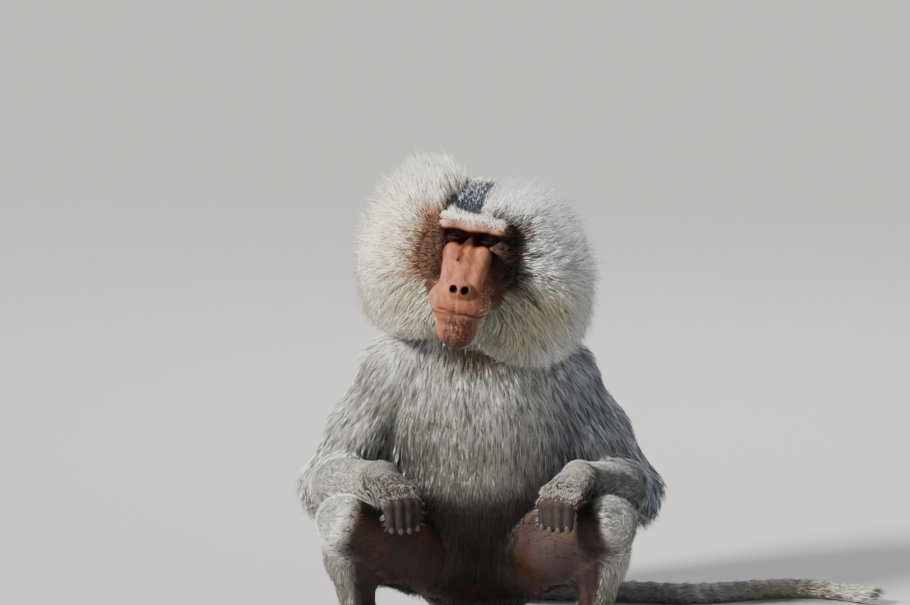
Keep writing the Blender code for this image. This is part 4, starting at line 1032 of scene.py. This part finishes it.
def head_unwrap(points):
    """The head's own shape unrolled: bearing round its axis and height, in the upper half."""
    x, y, z = in_head(points).T
    turn = np.arctan2(x, y - 0.05) / (2 * math.pi) + 0.5
    return np.stack((0.02 + 0.96 * turn, 0.62 + 0.36 * np.clip((z + 0.25) / 0.36, 0, 1)), axis=-1)


UV_COLUMNS, UV_ROWS = 6, 3
LAST_LIMB = 9


def body_unwrap(points):
    """Each length of the body unrolled in its own strip: share along its axis and bearing round it,
    from the vertical axes and limbs by x and y, and from the tail's lengths by z and y."""
    _, _, pick, share, way_out = lie_at(points)
    aside = np.where(pick > LAST_LIMB, way_out[:, 2], way_out[:, 0])
    bearing = np.arctan2(aside, way_out[:, 1]) / (2 * math.pi) + 0.5
    column, row = pick % UV_COLUMNS, pick // UV_COLUMNS
    return np.stack(((column + 0.05 + 0.9 * bearing) / UV_COLUMNS,
                     (row + 0.05 + 0.9 * np.clip(share, 0, 1)) * 0.6 / UV_ROWS), axis=-1)


def hair_material(name, dark_root, pale_tip):
    """Hair coloured by its own tint times a shade that runs from root to tip, with fine grain."""
    sheet = Sheet(name)
    tint = sheet.tint()
    along = sheet.node("ShaderNodeAttribute", attribute_name="along")[2]
    grain = sheet.noise(900.0, 2.0)
    shade = (along * (pale_tip - dark_root) + dark_root) * (0.80 + grain * 0.4)
    grey = sheet.node("ShaderNodeCombineXYZ", {0: shade, 1: shade, 2: shade})[0]
    colour = sheet.mixed(1.0, tint, grey, "MULTIPLY")
    sheet.plug(sheet.shader, {"Base Color": colour, "Roughness": 0.55, "Specular IOR Level": 0.25})
    return sheet.material


def dress(piece, material):
    """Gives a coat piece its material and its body."""
    piece.data.materials.append(material)
    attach(piece, "root")


MANE_HAIR = hair_material("mane hair", 0.84, 1.06)
COAT_HAIR = hair_material("coat hair", 0.66, 1.10)


# Cheek ruffs.
# The mane's two silvery lobes: dense soft hair that spreads out from the edge of the face over a
# bed of underwool, tip over root like thatch, and ends in a fine fringe round the rim.
RUFF_MIDDLE = -0.045
RUFF_BEARINGS = (0, 12, 33, 60, 94, 120, 137, 155, 170, 180)
RUFF_INNER = (0.074, 0.072, 0.068, 0.063, 0.060, 0.055, 0.050, 0.047, 0.047, 0.047)
RUFF_REACH = {LEFT: (0.094, 0.108, 0.138, 0.160, 0.182, 0.200, 0.200, 0.166, 0.126, 0.106),
              RIGHT: (0.094, 0.110, 0.157, 0.169, 0.174, 0.180, 0.177, 0.148, 0.120, 0.102)}
PER_DEGREE = 0.001
RUFF_TABLE = {side: smooth_line(
    np.stack((np.multiply(RUFF_BEARINGS, PER_DEGREE), RUFF_REACH[side], RUFF_INNER), axis=-1), 200)
    for side in (LEFT, RIGHT)}
MANE_CLUMP = 6


def ruff_place(side, angle, around, depth):
    """A point of a ruff, in head coordinates: bearing from straight up, turn from the inner front
    edge over the rim to the back, and depth below the tips. Its section is a superellipse."""
    bearing, reach, inner = RUFF_TABLE[side].T
    inner = np.interp(angle * PER_DEGREE, bearing, inner)
    reach = np.interp(angle * PER_DEGREE, bearing, reach) - depth
    s, c = np.sin(around), np.cos(around)
    out = inner + (reach - inner) * np.abs(s) ** 0.75
    back = 0.078 - (0.074 - depth) * np.sign(c) * np.abs(c) ** 0.85 - 0.012 * np.sin(2 * around)
    turn = np.radians(angle)
    return np.stack((np.sin(turn) * side * out, back, RUFF_MIDDLE + np.cos(turn) * out), axis=-1)


def ruff_guides(side, number, chance, start, end):
    """Guides that root in the bed of the ruff and surface further out, short at the face and longer
    towards the rim and the back, where they hang. A few stray past the rim."""
    around = math.pi * (start + (end - start) * chance.uniform(0, 1, number))
    first = 9 if side == LEFT else np.interp(around / math.pi, (0.0, 0.12, 0.40), (38, 28, 16))
    angle = first + (174 - first) * chance.uniform(0, 1, number)
    length = np.interp(around / math.pi, (0, 0.1, 0.3, 0.5, 1), (0.020, 0.034, 0.048, 0.054, 0.060))
    length = length * chance.uniform(0.75, 1.15, number)
    ahead, behind = ruff_place(side, angle, around + 0.05, 0), ruff_place(side, angle, around - 0.05, 0)
    speed = np.linalg.norm(ahead - behind, axis=1) / 0.1
    step = np.minimum(length / np.maximum(speed, 0.02), 0.9)
    drift = chance.normal(0, 2.2, number) + 3.0 * np.sin(angle * 0.13 + side)
    drift = drift + 5.0 * smooth_step(60, 130, angle)
    bed = 0.020 * smooth_step(0.0, 0.22, around / math.pi)
    stand = 0.004 - chance.uniform(0, 1, number) ** 2 * 0.008
    roots = ruff_place(side, angle, around, bed)
    middles = ruff_place(side, angle + drift * 0.3, around + step * 0.5, bed * 0.40 + 0.001)
    tips = ruff_place(side, angle + drift, around + step * 0.95, stand)
    hang = smooth_step(0.45, 0.80, around / math.pi) * smooth_step(15, 45, angle)
    tips += hang[:, None] * np.array((0, 0.020, -0.034))
    rim = smooth_step(0.30, 0.45, around / math.pi) * smooth_step(0.75, 0.55, around / math.pi)
    turn = np.radians(angle)
    stray = rim * (0.005 + 0.018 * chance.uniform(0, 1, number) ** 3)
    tips[:, 0] += np.sin(turn) * side * stray
    tips[:, 2] += np.cos(turn) * stray
    controls = 2 * middles - (roots + tips) / 2
    out = ruff_place(side, angle, around + 0.1, -0.01) - ruff_place(side, angle, around + 0.1, 0.01)
    lines = [part @ HEAD_AXES.T + HEAD_PLACE for part in (roots, controls, tips)]
    return lines, unit(out) @ HEAD_AXES.T, angle, around / math.pi


def ruff_colours(side, angle, around, points, chance):
    """Cream-white on the right side, silver-grey on the left, olive cream beside the jaw, brown at the inner
    edge beside the cheek on the right, and a fine mixture of paler and darker hairs. Painted shade darkens
    the lower part of each ruff and makes the left ruff's inner edge near black."""
    number = len(angle)
    x, _, z = in_head(points).T
    edge = smooth_step(0.088, 0.064, np.abs(x)) * smooth_step(-0.085, -0.060, z) * smooth_step(0.04, 0.02, z)
    edge = edge * smooth_step(0.14, 0.02, around)
    if side == RIGHT:
        dark_share = 0.08
        base = layered(
            plain((0.88, 0.835, 0.735), number),
            ((0.60, 0.55, 0.42), smooth_step(0.20, 0.04, around) * smooth_step(40, 80, angle) * 0.8),
            # painted shade on the lower part of the ruff
            ((0.55, 0.52, 0.44), smooth_step(125, 160, angle) * 0.8),
            ((0.34, 0.19, 0.11), edge))
    else:
        dark_share = 0.24
        base = layered(
            plain((0.80, 0.81, 0.82), number),
            ((0.94, 0.94, 0.92), smooth_step(96, 60, angle) * smooth_step(0.50, 0.25, around)),
            ((0.55, 0.51, 0.37), smooth_step(80, 104, angle) * smooth_step(0.34, 0.12, around) * 0.85),
            # painted shade on the lower part of the ruff
            ((0.42, 0.40, 0.36), smooth_step(130, 160, angle) * 0.8),
            # painted shade: near black at the inner edge, on the animal's shaded left side
            ((0.12, 0.08, 0.06), edge))
    light = chance.normal(1.0, 0.12, (number, 1)) + 0.07 * blotches(points, 0.025, 11)[:, None]
    dark = np.where(chance.uniform(0, 1, (number, 1)) < dark_share, 0.60, 1.0)
    return base * np.clip(light, 0.5, 1.35) * dark


for side, word in ((LEFT, "left"), (RIGHT, "right")):
    for layer, start, end, number, thicker, seed in (("front", 0.0, 0.50, 3250, 1.0, 20),
                                                     ("back", 0.38, 0.98, 1100, 1.6, 25)):
        chance = np.random.default_rng(seed + side)
        lines, facing, angle, around = ruff_guides(side, number, chance, start, end)
        hairs, fronts = clumped(bent_lines(*lines, 2), facing, MANE_CLUMP, 0.0034, chance, 0.30, 0.0008)
        hairs = clear_of(FLESH, hairs, 0.002)
        angle, around = np.repeat(angle, MANE_CLUMP), np.repeat(around, MANE_CLUMP)
        colours = ruff_colours(side, angle, around, hairs[:, 0], chance)
        widths = chance.uniform(0.0007, 0.0013, len(hairs)) * thicker
        piece = lock_piece(f"ruff_{word}_{layer}", hairs, fronts, widths, colours, hairs[:, 0], head_unwrap)
        dress(piece, MANE_HAIR)
        if layer == "front":
            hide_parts("mane_" + word)


# Crown and nape.
# Shorter hair over the crown between the lobes, with dark hair in the notch between them painted deeper
# blue-grey as their shadow, growing longer and paler down the nape.
# dark hair in the notch between the lobes, painted deeper blue-grey as their shadow
NOTCH_HAIR_AND_SHADOW_BLUE = (0.034, 0.044, 0.075)


def crown_guides(number, chance):
    """Guides over the skull: the pitch runs from the brow over the top and down behind, where the
    hair is longest and hangs. It stands tallest just behind the parting."""
    pitch = 34 + 174 * chance.uniform(0, 1, number) ** 1.15
    place = chance.uniform(-1, 1, number)
    turn = np.radians(pitch)
    roll = place * 0.85
    outward = np.stack((np.sin(roll), -np.cos(turn) * np.cos(roll), np.sin(turn) * np.cos(roll)), axis=-1)
    roots = np.array((0, 0.062, 0.012)) + outward * (0.046, 0.058, 0.046)
    flow = np.stack((np.sin(roll) * 0.9, np.sin(turn), np.cos(turn)), axis=-1)
    flow = unit(flow + np.array((0, 0, -1.0)) * smooth_step(130, 170, pitch)[:, None] * 0.7)
    length = np.interp(pitch, (34, 60, 84, 100, 145, 175, 208),
                       (0.010, 0.016, 0.022, 0.042, 0.080, 0.115, 0.125))
    lift = np.interp(pitch, (34, 60, 88, 108, 130, 208), (0.9, 0.5, 0.5, 1.2, 0.7, 0.4))
    controls = roots + (flow * 0.8 + outward * lift[:, None]) * length[:, None] * 0.5
    reach = (flow + outward * lift[:, None] * 0.5) * length[:, None]
    tips = roots + reach * chance.uniform(0.8, 1.05, (number, 1))
    tips[:, 2] -= 0.45 * length * smooth_step(110, 170, pitch)
    lines = [part @ HEAD_AXES.T + HEAD_PLACE for part in (roots, controls, tips)]
    return lines, outward @ HEAD_AXES.T, pitch, place


chance = np.random.default_rng(31)
lines, facing, pitch, place = crown_guides(1250, chance)
hairs, fronts = clumped(bent_lines(*lines, 2), facing, MANE_CLUMP, 0.0036, chance, 0.3, 0.0010)
hairs = clear_of(FLESH, hairs, 0.0015)
pitch, place = np.repeat(pitch, MANE_CLUMP), np.repeat(place, MANE_CLUMP)
pale = smooth_step(80, 60, pitch) + smooth_step(94, 104, pitch) * smooth_step(150, 125, pitch)
from_notch = np.abs(place + 0.16 + 0.2 * smooth_step(60, 34, pitch))
notch = smooth_step(104, 94, pitch) * smooth_step(0.62, 0.42, from_notch)
notch = notch * chance.choice((0.97, 0.35), len(hairs), p=(0.8, 0.2))
colours = layered(plain((0.72, 0.71, 0.67), len(hairs)), ((0.84, 0.83, 0.80), pale), (NOTCH_HAIR_AND_SHADOW_BLUE, notch))
colours = colours * np.clip(chance.normal(1, 0.16, (len(hairs), 1)), 0.4, 1.5)
widths = chance.uniform(0.0008, 0.0014, len(hairs))
crown = lock_piece("crown_hair", hairs, fronts, widths, colours, hairs[:, 0], head_unwrap)
dress(crown, MANE_HAIR)
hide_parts("mane_crown")


# Mantle and body coat.
# Silver hair over neck, shoulders, back, chest and upper arms, a mixture of pale and dark hairs,
# which shortens to flat ticked fur on flanks, limbs and tail.
def roots_on(net, density, chance, number):
    """Random places on a net of four-sided faces, drawn by area times density."""
    points, faces = net
    corners = points[faces]
    area = np.linalg.norm(np.cross(corners[:, 2] - corners[:, 0], corners[:, 3] - corners[:, 1]), axis=1) / 2
    weight = area * density
    pick = np.searchsorted(np.cumsum(weight) / weight.sum(), chance.uniform(0, 1, number))
    pick = pick.clip(0, len(faces) - 1)
    u, v = chance.uniform(0, 1, (2, number, 1))
    a, b, c, d = (corners[pick, k] for k in range(4))
    return a * (1 - u) * (1 - v) + b * u * (1 - v) + c * u * v + d * (1 - u) * v


def sprout(roots, form, ahead, length, lift, droop, chance, rows):
    """Lines that leave a form along the given ways, lifted from it by a share of their length. The
    tips droop by another share, up to six times as much on undersides."""
    outward = form.outward(roots)
    ahead = ahead + chance.normal(0, 0.12, roots.shape)
    ahead = unit(ahead - outward * np.einsum("nk,nk->n", ahead, outward)[:, None])
    reach = length[:, None]
    controls = roots + (ahead + outward * lift) * reach * 0.5
    tips = roots + (ahead + outward * lift * 0.45) * reach
    tips[:, 2] -= droop * length * (1 + 5 * np.clip(-outward[:, 2], 0, 1))
    return bent_lines(roots - outward * ROOT_DEPTH, controls, tips, rows), outward


def coat_length(points, region, share, way_out):
    """Length of the coat: long on back and nape, shorter on chest and arms, with a fringe under the
    forearm, and shortest on belly, legs and tail."""
    _, y, z = points.T
    back = smooth_step(-0.05, 0.01, y)
    trunk = 0.018 + 0.034 * smooth_step(0.16, 0.28, z) * back
    trunk = trunk + 0.012 * smooth_step(0.20, 0.32, z) * (1 - back)
    trunk = trunk + 0.022 * smooth_step(0.36, 0.44, z) * smooth_step(0.02, 0.05, y)
    upper_arm = np.interp(share, (0.5, 1), (0.030, 0.028))
    forearm = 0.018 + 0.020 * smooth_step(0.0, 0.6, -way_out[:, 2])
    thigh, tail = 0.018 + 0 * z, 0.014 + 0 * z
    shin = 0.016 + 0.006 * smooth_step(0.3, 0.0, share)
    return np.choose(region, (trunk, upper_arm, forearm, thigh, shin, tail))


def ticked(base, points, strength, chance, together=1):
    """Single hairs, or small clumps together, darker or paler than their neighbours, over broad
    soft changes of shade."""
    number = len(points)
    tick = np.repeat(chance.choice((0.22, 0.80, 1.32), number // together, p=(0.27, 0.38, 0.35)), together)
    light = (1 + (tick - 1) * strength) * np.clip(chance.normal(1, 0.10, number), 0.6, 1.5)
    return base * (light * (1 + 0.10 * blotches(points, 0.04, 12)))[:, None]


middles = nets["body"][0][nets["body"][1]].mean(axis=1)
_, region, _, share, way_out = lie_at(middles)
long_share = smooth_step(0.021, 0.028, coat_length(middles, region, share, way_out))
bare_pad = smooth_step(0.052, 0.040, np.linalg.norm((middles - (0, 0.004, 0.01)) * (1, 1, 1.4), axis=1))
behind = smooth_step(0.00, 0.03, middles[:, 1])
under_mane = (smooth_step(0.015, 0.005, SKULL.at(middles)) + (middles[:, 2] > 0.560)) * (1 - behind)
grows = np.clip(1 - bare_pad - under_mane, 0, 1)
in_front = smooth_step(0.02, -0.06, middles[:, 1])
at_back = (1 - in_front) * (1 + 1.5 * smooth_step(0.42, 0.48, middles[:, 2]))
COAT_CLUMP = 3
for name, seed, guides, rows, wants in (("mantle_back", 41, 6600, 2, at_back),
                                        ("mantle_front", 42, 15000, 1, in_front)):
    chance = np.random.default_rng(seed)
    roots = roots_on(nets["body"], long_share * wants * grows, chance, guides)
    lie, region, _, share, way_out = lie_at(roots)
    length = coat_length(roots, region, share, way_out) * chance.uniform(0.75, 1.15, guides)
    paths, facing = sprout(roots, BODY, lie, length, 0.42, 0.10, chance, rows)
    hairs, fronts = clumped(paths, facing, COAT_CLUMP, 0.0009 * rows, chance, 0.25, 0.0012)
    hairs = clear_of(BODY, hairs, 0.0030)
    lies = [np.repeat(part, COAT_CLUMP, axis=0) for part in (region, share, way_out)]
    base = coat_base(hairs[:, 0], *lies)
    widths = chance.uniform(0.0009, 0.0015, len(hairs))
    colours = ticked(base, hairs[:, 0], 1.0, chance, COAT_CLUMP)
    dress(lock_piece(name, hairs, fronts, widths, colours, hairs[:, 0], body_unwrap), COAT_HAIR)

_, region, _, share, way_out = lie_at(middles)
thin = (1 - 0.97 * bare_share(middles, region, way_out)) * np.where(region == TAIL_FUR, 0.8, 1.0)
for name, seed, number, low, high in (("fur_upper", 51, 47000, 0.14, 0.16),
                                      ("fur_lower", 52, 34000, 0.16, 0.14)):
    chance = np.random.default_rng(seed)
    wants = smooth_step(low, high, middles[:, 2]) * thin
    roots = roots_on(nets["body"], (1 - long_share) * wants * grows, chance, number)
    lie, region, _, share, way_out = lie_at(roots)
    length = coat_length(roots, region, share, way_out) * chance.uniform(0.7, 1.2, number)
    paths, facing = sprout(roots, BODY, lie, length, 0.42, 0.06, chance, 1)
    paths = clear_of(BODY, paths, 0.0012)
    widths = chance.uniform(0.0009, 0.0017, number)
    colours = ticked(coat_base(roots, region, share, way_out), roots, 0.85, chance)
    dress(lock_piece(name, paths, facing, widths, colours, roots, body_unwrap), COAT_HAIR)


# Fur of hands and feet.
# Short flat grey fur on the backs of hands and feet, which thins out over the digits.
hairs, fronts, colours = [], [], []
chance = np.random.default_rng(71)
for side in (LEFT, RIGHT):
    wrist, _, knuckles, _, _ = hand_lines(side)
    ankle, toes = np.array(ANKLE[side]), np.array(TOES[side])
    for part, start, end, cover, number, tone in (
            ("hand", wrist, knuckles, 1.38, 5000, (0.46, 0.44, 0.40)),
            ("foot", ankle, toes, 0.62, 3000, (0.50, 0.48, 0.45))):
        form = PARTS[part, side][0]
        points, faces = nets[part, side]
        middle = points[faces].mean(axis=1)
        along = (middle - start) @ (end - start) / ((end - start) @ (end - start))
        up = form.outward(middle)[:, 2]
        density = smooth_step(cover + 0.05, cover - 0.12, along) * smooth_step(-0.35, 0.15, up)
        roots = roots_on(nets[part, side], density, chance, number)
        length = 0.0120 * chance.uniform(0.7, 1.2, number)
        way = plain(unit(end - start), number)
        paths, facing = sprout(roots, form, way, length, 0.35, 0.1, chance, 1)
        hairs.append(clear_of(form, paths, 0.0008))
        fronts.append(facing)
        colours.append(ticked(plain(tone, number), roots, 1.0, chance))
hairs, fronts, colours = map(np.concatenate, (hairs, fronts, colours))
widths = chance.uniform(0.0009, 0.0015, len(hairs))
piece = lock_piece("fur_hands_feet", hairs, fronts, widths, colours, hairs[:, 0], body_unwrap)
dress(piece, COAT_HAIR)


# Hair of the face.
# White hair that stands up over the brow, dark blue-grey where the notch's painted shadow reaches it, fine
# hair from the bare cheeks into the ruffs, darker on the animal's left as painted shade, and a sparse pale
# down round muzzle, lips and chin.
def head_ways(*parts):
    """Directions from their parts along the head's axes, turned into the world's."""
    return np.stack(np.broadcast_arrays(*parts), axis=-1) @ HEAD_AXES.T


def face_hair(name, seed, number, density, ways_of, length_of, colours_of, width, lift):
    """Hair on the face: places drawn by density, with way, length and colour from the root's place."""
    chance = np.random.default_rng(seed)
    roots = roots_on(nets["face"], density, chance, number)
    local = in_head(roots).T
    length = length_of(*local) * chance.uniform(0.7, 1.2, number)
    paths, facing = sprout(roots, FACE, ways_of(*local), length, lift, 0.0, chance, 2)
    paths = clear_of(FACE, paths, 0.0006)
    colours = colours_of(*local) * np.clip(chance.normal(1, 0.14, (number, 1)), 0.5, 1.4)
    widths = chance.uniform(0.7, 1.3, number) * width
    dress(lock_piece(name, paths, facing, widths, colours, roots, head_unwrap), MANE_HAIR)


points, faces = nets["face"]
x, y, z = in_head(points[faces].mean(axis=1)).T
off_eye = np.where(np.abs(z + 0.001) < 0.010, smooth_step(0.038, 0.046, np.abs(x)), 1)
face_hair(
    "brow_hair", 81, 4000,
    smooth_step(0.0160, 0.021, z + 0.05 * x) * smooth_step(0.060, 0.045, np.abs(x)),
    lambda x, y, z: head_ways(x * 16, 0.45, 1.0),
    lambda x, y, z: (0.007 + 0.018 * smooth_step(0.020, 0.045, z)
                     * smooth_step(0.004, 0.030, np.abs(x + 0.007))),
    lambda x, y, z: layered(
        plain((0.90, 0.88, 0.85), len(x)),
        ((0.70, 0.52, 0.42), smooth_step(0.024, 0.017, z)),
        # painted shadow of the notch reaching the brow hair
        (NOTCH_HAIR_AND_SHADOW_BLUE, smooth_step(0.028, 0.031, z) * smooth_step(0.024, 0.017, np.abs(x + 0.011)))),
    0.0008, 0.6)
face_hair(
    "cheek_hair", 82, 7500,
    smooth_step(0.034, 0.048, np.abs(x) + 0.35 * np.clip(y, 0, 0.05)) * smooth_step(0.03, 0.02, z)
    * smooth_step(-0.045, -0.030, y) * off_eye
    + smooth_step(-0.070, -0.085, z) * smooth_step(-0.045, -0.015, y),
    lambda x, y, z: head_ways(np.sign(x) * 0.9, 0.55, z * 7 + 0.10),
    lambda x, y, z: (0.006 + 0.012 * smooth_step(0.040, 0.056, np.abs(x))
                     + 0.022 * smooth_step(-0.010, 0.018, y)),
    lambda x, y, z: layered(
        plain((0.125, 0.060, 0.036), len(x)),
        # painted shade: darker cheek hair on the animal's left
        ((0.040, 0.022, 0.016), (x > 0) * smooth_step(-0.065, -0.045, z)),
        ((0.50, 0.34, 0.21), smooth_step(0.004, 0.026, y)),
        ((0.36, 0.28, 0.18), smooth_step(-0.08, -0.12, z))),
    0.0007, 1.05)
face_hair(
    "muzzle_down", 83, 800,
    smooth_step(-0.050, -0.090, z) * smooth_step(0.020, -0.02, y)
    * np.maximum(smooth_step(0.026, 0.034, np.abs(x - 0.002)), 0.3 * smooth_step(-0.138, -0.144, z)),
    lambda x, y, z: head_ways(np.sign(x) * 0.7, 0.4, -0.7),
    lambda x, y, z: 0.0034 + 0.0016 * smooth_step(-0.095, -0.130, z),
    lambda x, y, z: plain((0.85, 0.78, 0.70), len(x)),
    0.00020, 1.2)


# Tail tuft.
# Longer pale hair round the last length of the tail, closing past its end.
chance = np.random.default_rng(61)
number = 420
share = 0.76 + 0.215 * chance.uniform(0, 1, number) ** 0.7
spots = np.stack([np.interp(share, TAIL_SHARE, TAIL[:, axis]) for axis in range(3)], axis=-1)
span = (share * (TAIL_POINTS - 1)).astype(int)
way = unit(TAIL[span + 1] - TAIL[span])
bearing = np.radians(chance.uniform(-30, 210, number))[:, None]
upward = np.array((0, 0, 1.0))
outward = unit(np.cross(way, upward)) * np.cos(bearing) + upward * np.sin(bearing)
roots = spots + outward * 0.008
length = 0.040 * chance.uniform(0.7, 1.1, (number, 1))
controls = roots + (way + outward * 0.40) * length * 0.5
paths = bent_lines(roots, controls, roots + (way + outward * 0.02) * length, 2)
hairs, fronts = clumped(paths, outward, MANE_CLUMP, 0.0022, chance, 0.2, 0.001)
hairs[:, :, 2] = np.maximum(hairs[:, :, 2], LOWEST_HAIR)
colours = ticked(plain((0.46, 0.42, 0.35), len(hairs)), hairs[:, 0], 0.7, chance)
widths = chance.uniform(0.0012, 0.0022, len(hairs))
tuft = lock_piece("tail_tuft_hair", hairs, fronts, widths, colours, hairs[:, 0], body_unwrap)
dress(tuft, COAT_HAIR)
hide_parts("tail_tuft")


# Floor, light and camera.
# A plain pale floor, flat and wide, a far key light from the viewer's upper left, soft like hazy
# sun, a weaker fill and a light from behind, and the camera at the photograph's angle.
def flat_floor(radius, sides):
    """A flat disc: points at equal turns round a circle, joined to its middle."""
    turn = np.linspace(0, 2 * math.pi, sides, endpoint=False)
    rim = np.stack((np.cos(turn) * radius, np.sin(turn) * radius, 0 * turn), axis=-1)
    index = np.arange(sides)
    faces = np.stack((index, (index + 1) % sides, np.full(sides, sides)), axis=-1)
    return add_mesh("floor", np.vstack((rim, (0, 0, 0))), faces)


floor = flat_floor(40.0, 64)
sheet = Sheet("pale floor")
sheet.plug(sheet.shader, {"Base Color": (0.40, 0.395, 0.385, 1),
                          "Roughness": 0.75 + sheet.noise(40.0, 3.0) * 0.05})
floor.data.materials.append(sheet.material)


def add_light(name, kind, place, target, size, power, colour):
    """A disc of light that faces a target: near, by its width, or far, by the angle it fills."""
    lamp = bpy.data.lights.new(name, kind)
    if kind == "SUN":
        lamp.angle = size
    else:
        lamp.shape = "DISK"
        lamp.size = size
    lamp.energy = power
    lamp.color = colour
    back = unit(np.asarray(place, float) - target)
    right = unit(np.cross((0, 0, 1), back))
    matrix = np.eye(4)
    matrix[:3, :3] = np.stack((right, np.cross(back, right), back), axis=1)
    matrix[:3, 3] = place
    add_object(name, lamp).matrix_world = matrix.T.tolist()


MIDDLE = np.array((0.0, -0.05, 0.40))
add_light("key", "SUN", (-2.5, -1.55, 2.4), MIDDLE, math.radians(10), 10.0, (1.0, 0.965, 0.90))
add_light("fill", "AREA", (2.4, -2.4, 1.2), MIDDLE, 2.4, 18, (0.85, 0.92, 1.0))
add_light("rim", "AREA", (0.6, 2.0, 2.4), MIDDLE, 1.0, 70, (1.0, 1.0, 1.0))
world = bpy.data.worlds.new("room")
world.use_nodes = True
sky = world.node_tree.nodes["Background"].inputs
sky["Color"].default_value = (0.80, 0.83, 0.87, 1)
sky["Strength"].default_value = 0.32
bpy.context.scene.world = world

TARGET = np.array((-0.0345, 0.0, 0.487))
ELEVATION = math.radians(10)
DISTANCE = 5.0
VIEW_WIDTH = 1.365
SENSOR = 36
lens = bpy.data.cameras.new("camera")
lens.lens = SENSOR * DISTANCE / VIEW_WIDTH
camera = add_object("camera", lens)
camera.location = (TARGET + DISTANCE * np.array((0, -math.cos(ELEVATION), math.sin(ELEVATION)))).tolist()
camera.rotation_euler = (math.pi / 2 - ELEVATION, 0, 0)
bpy.context.scene.camera = camera
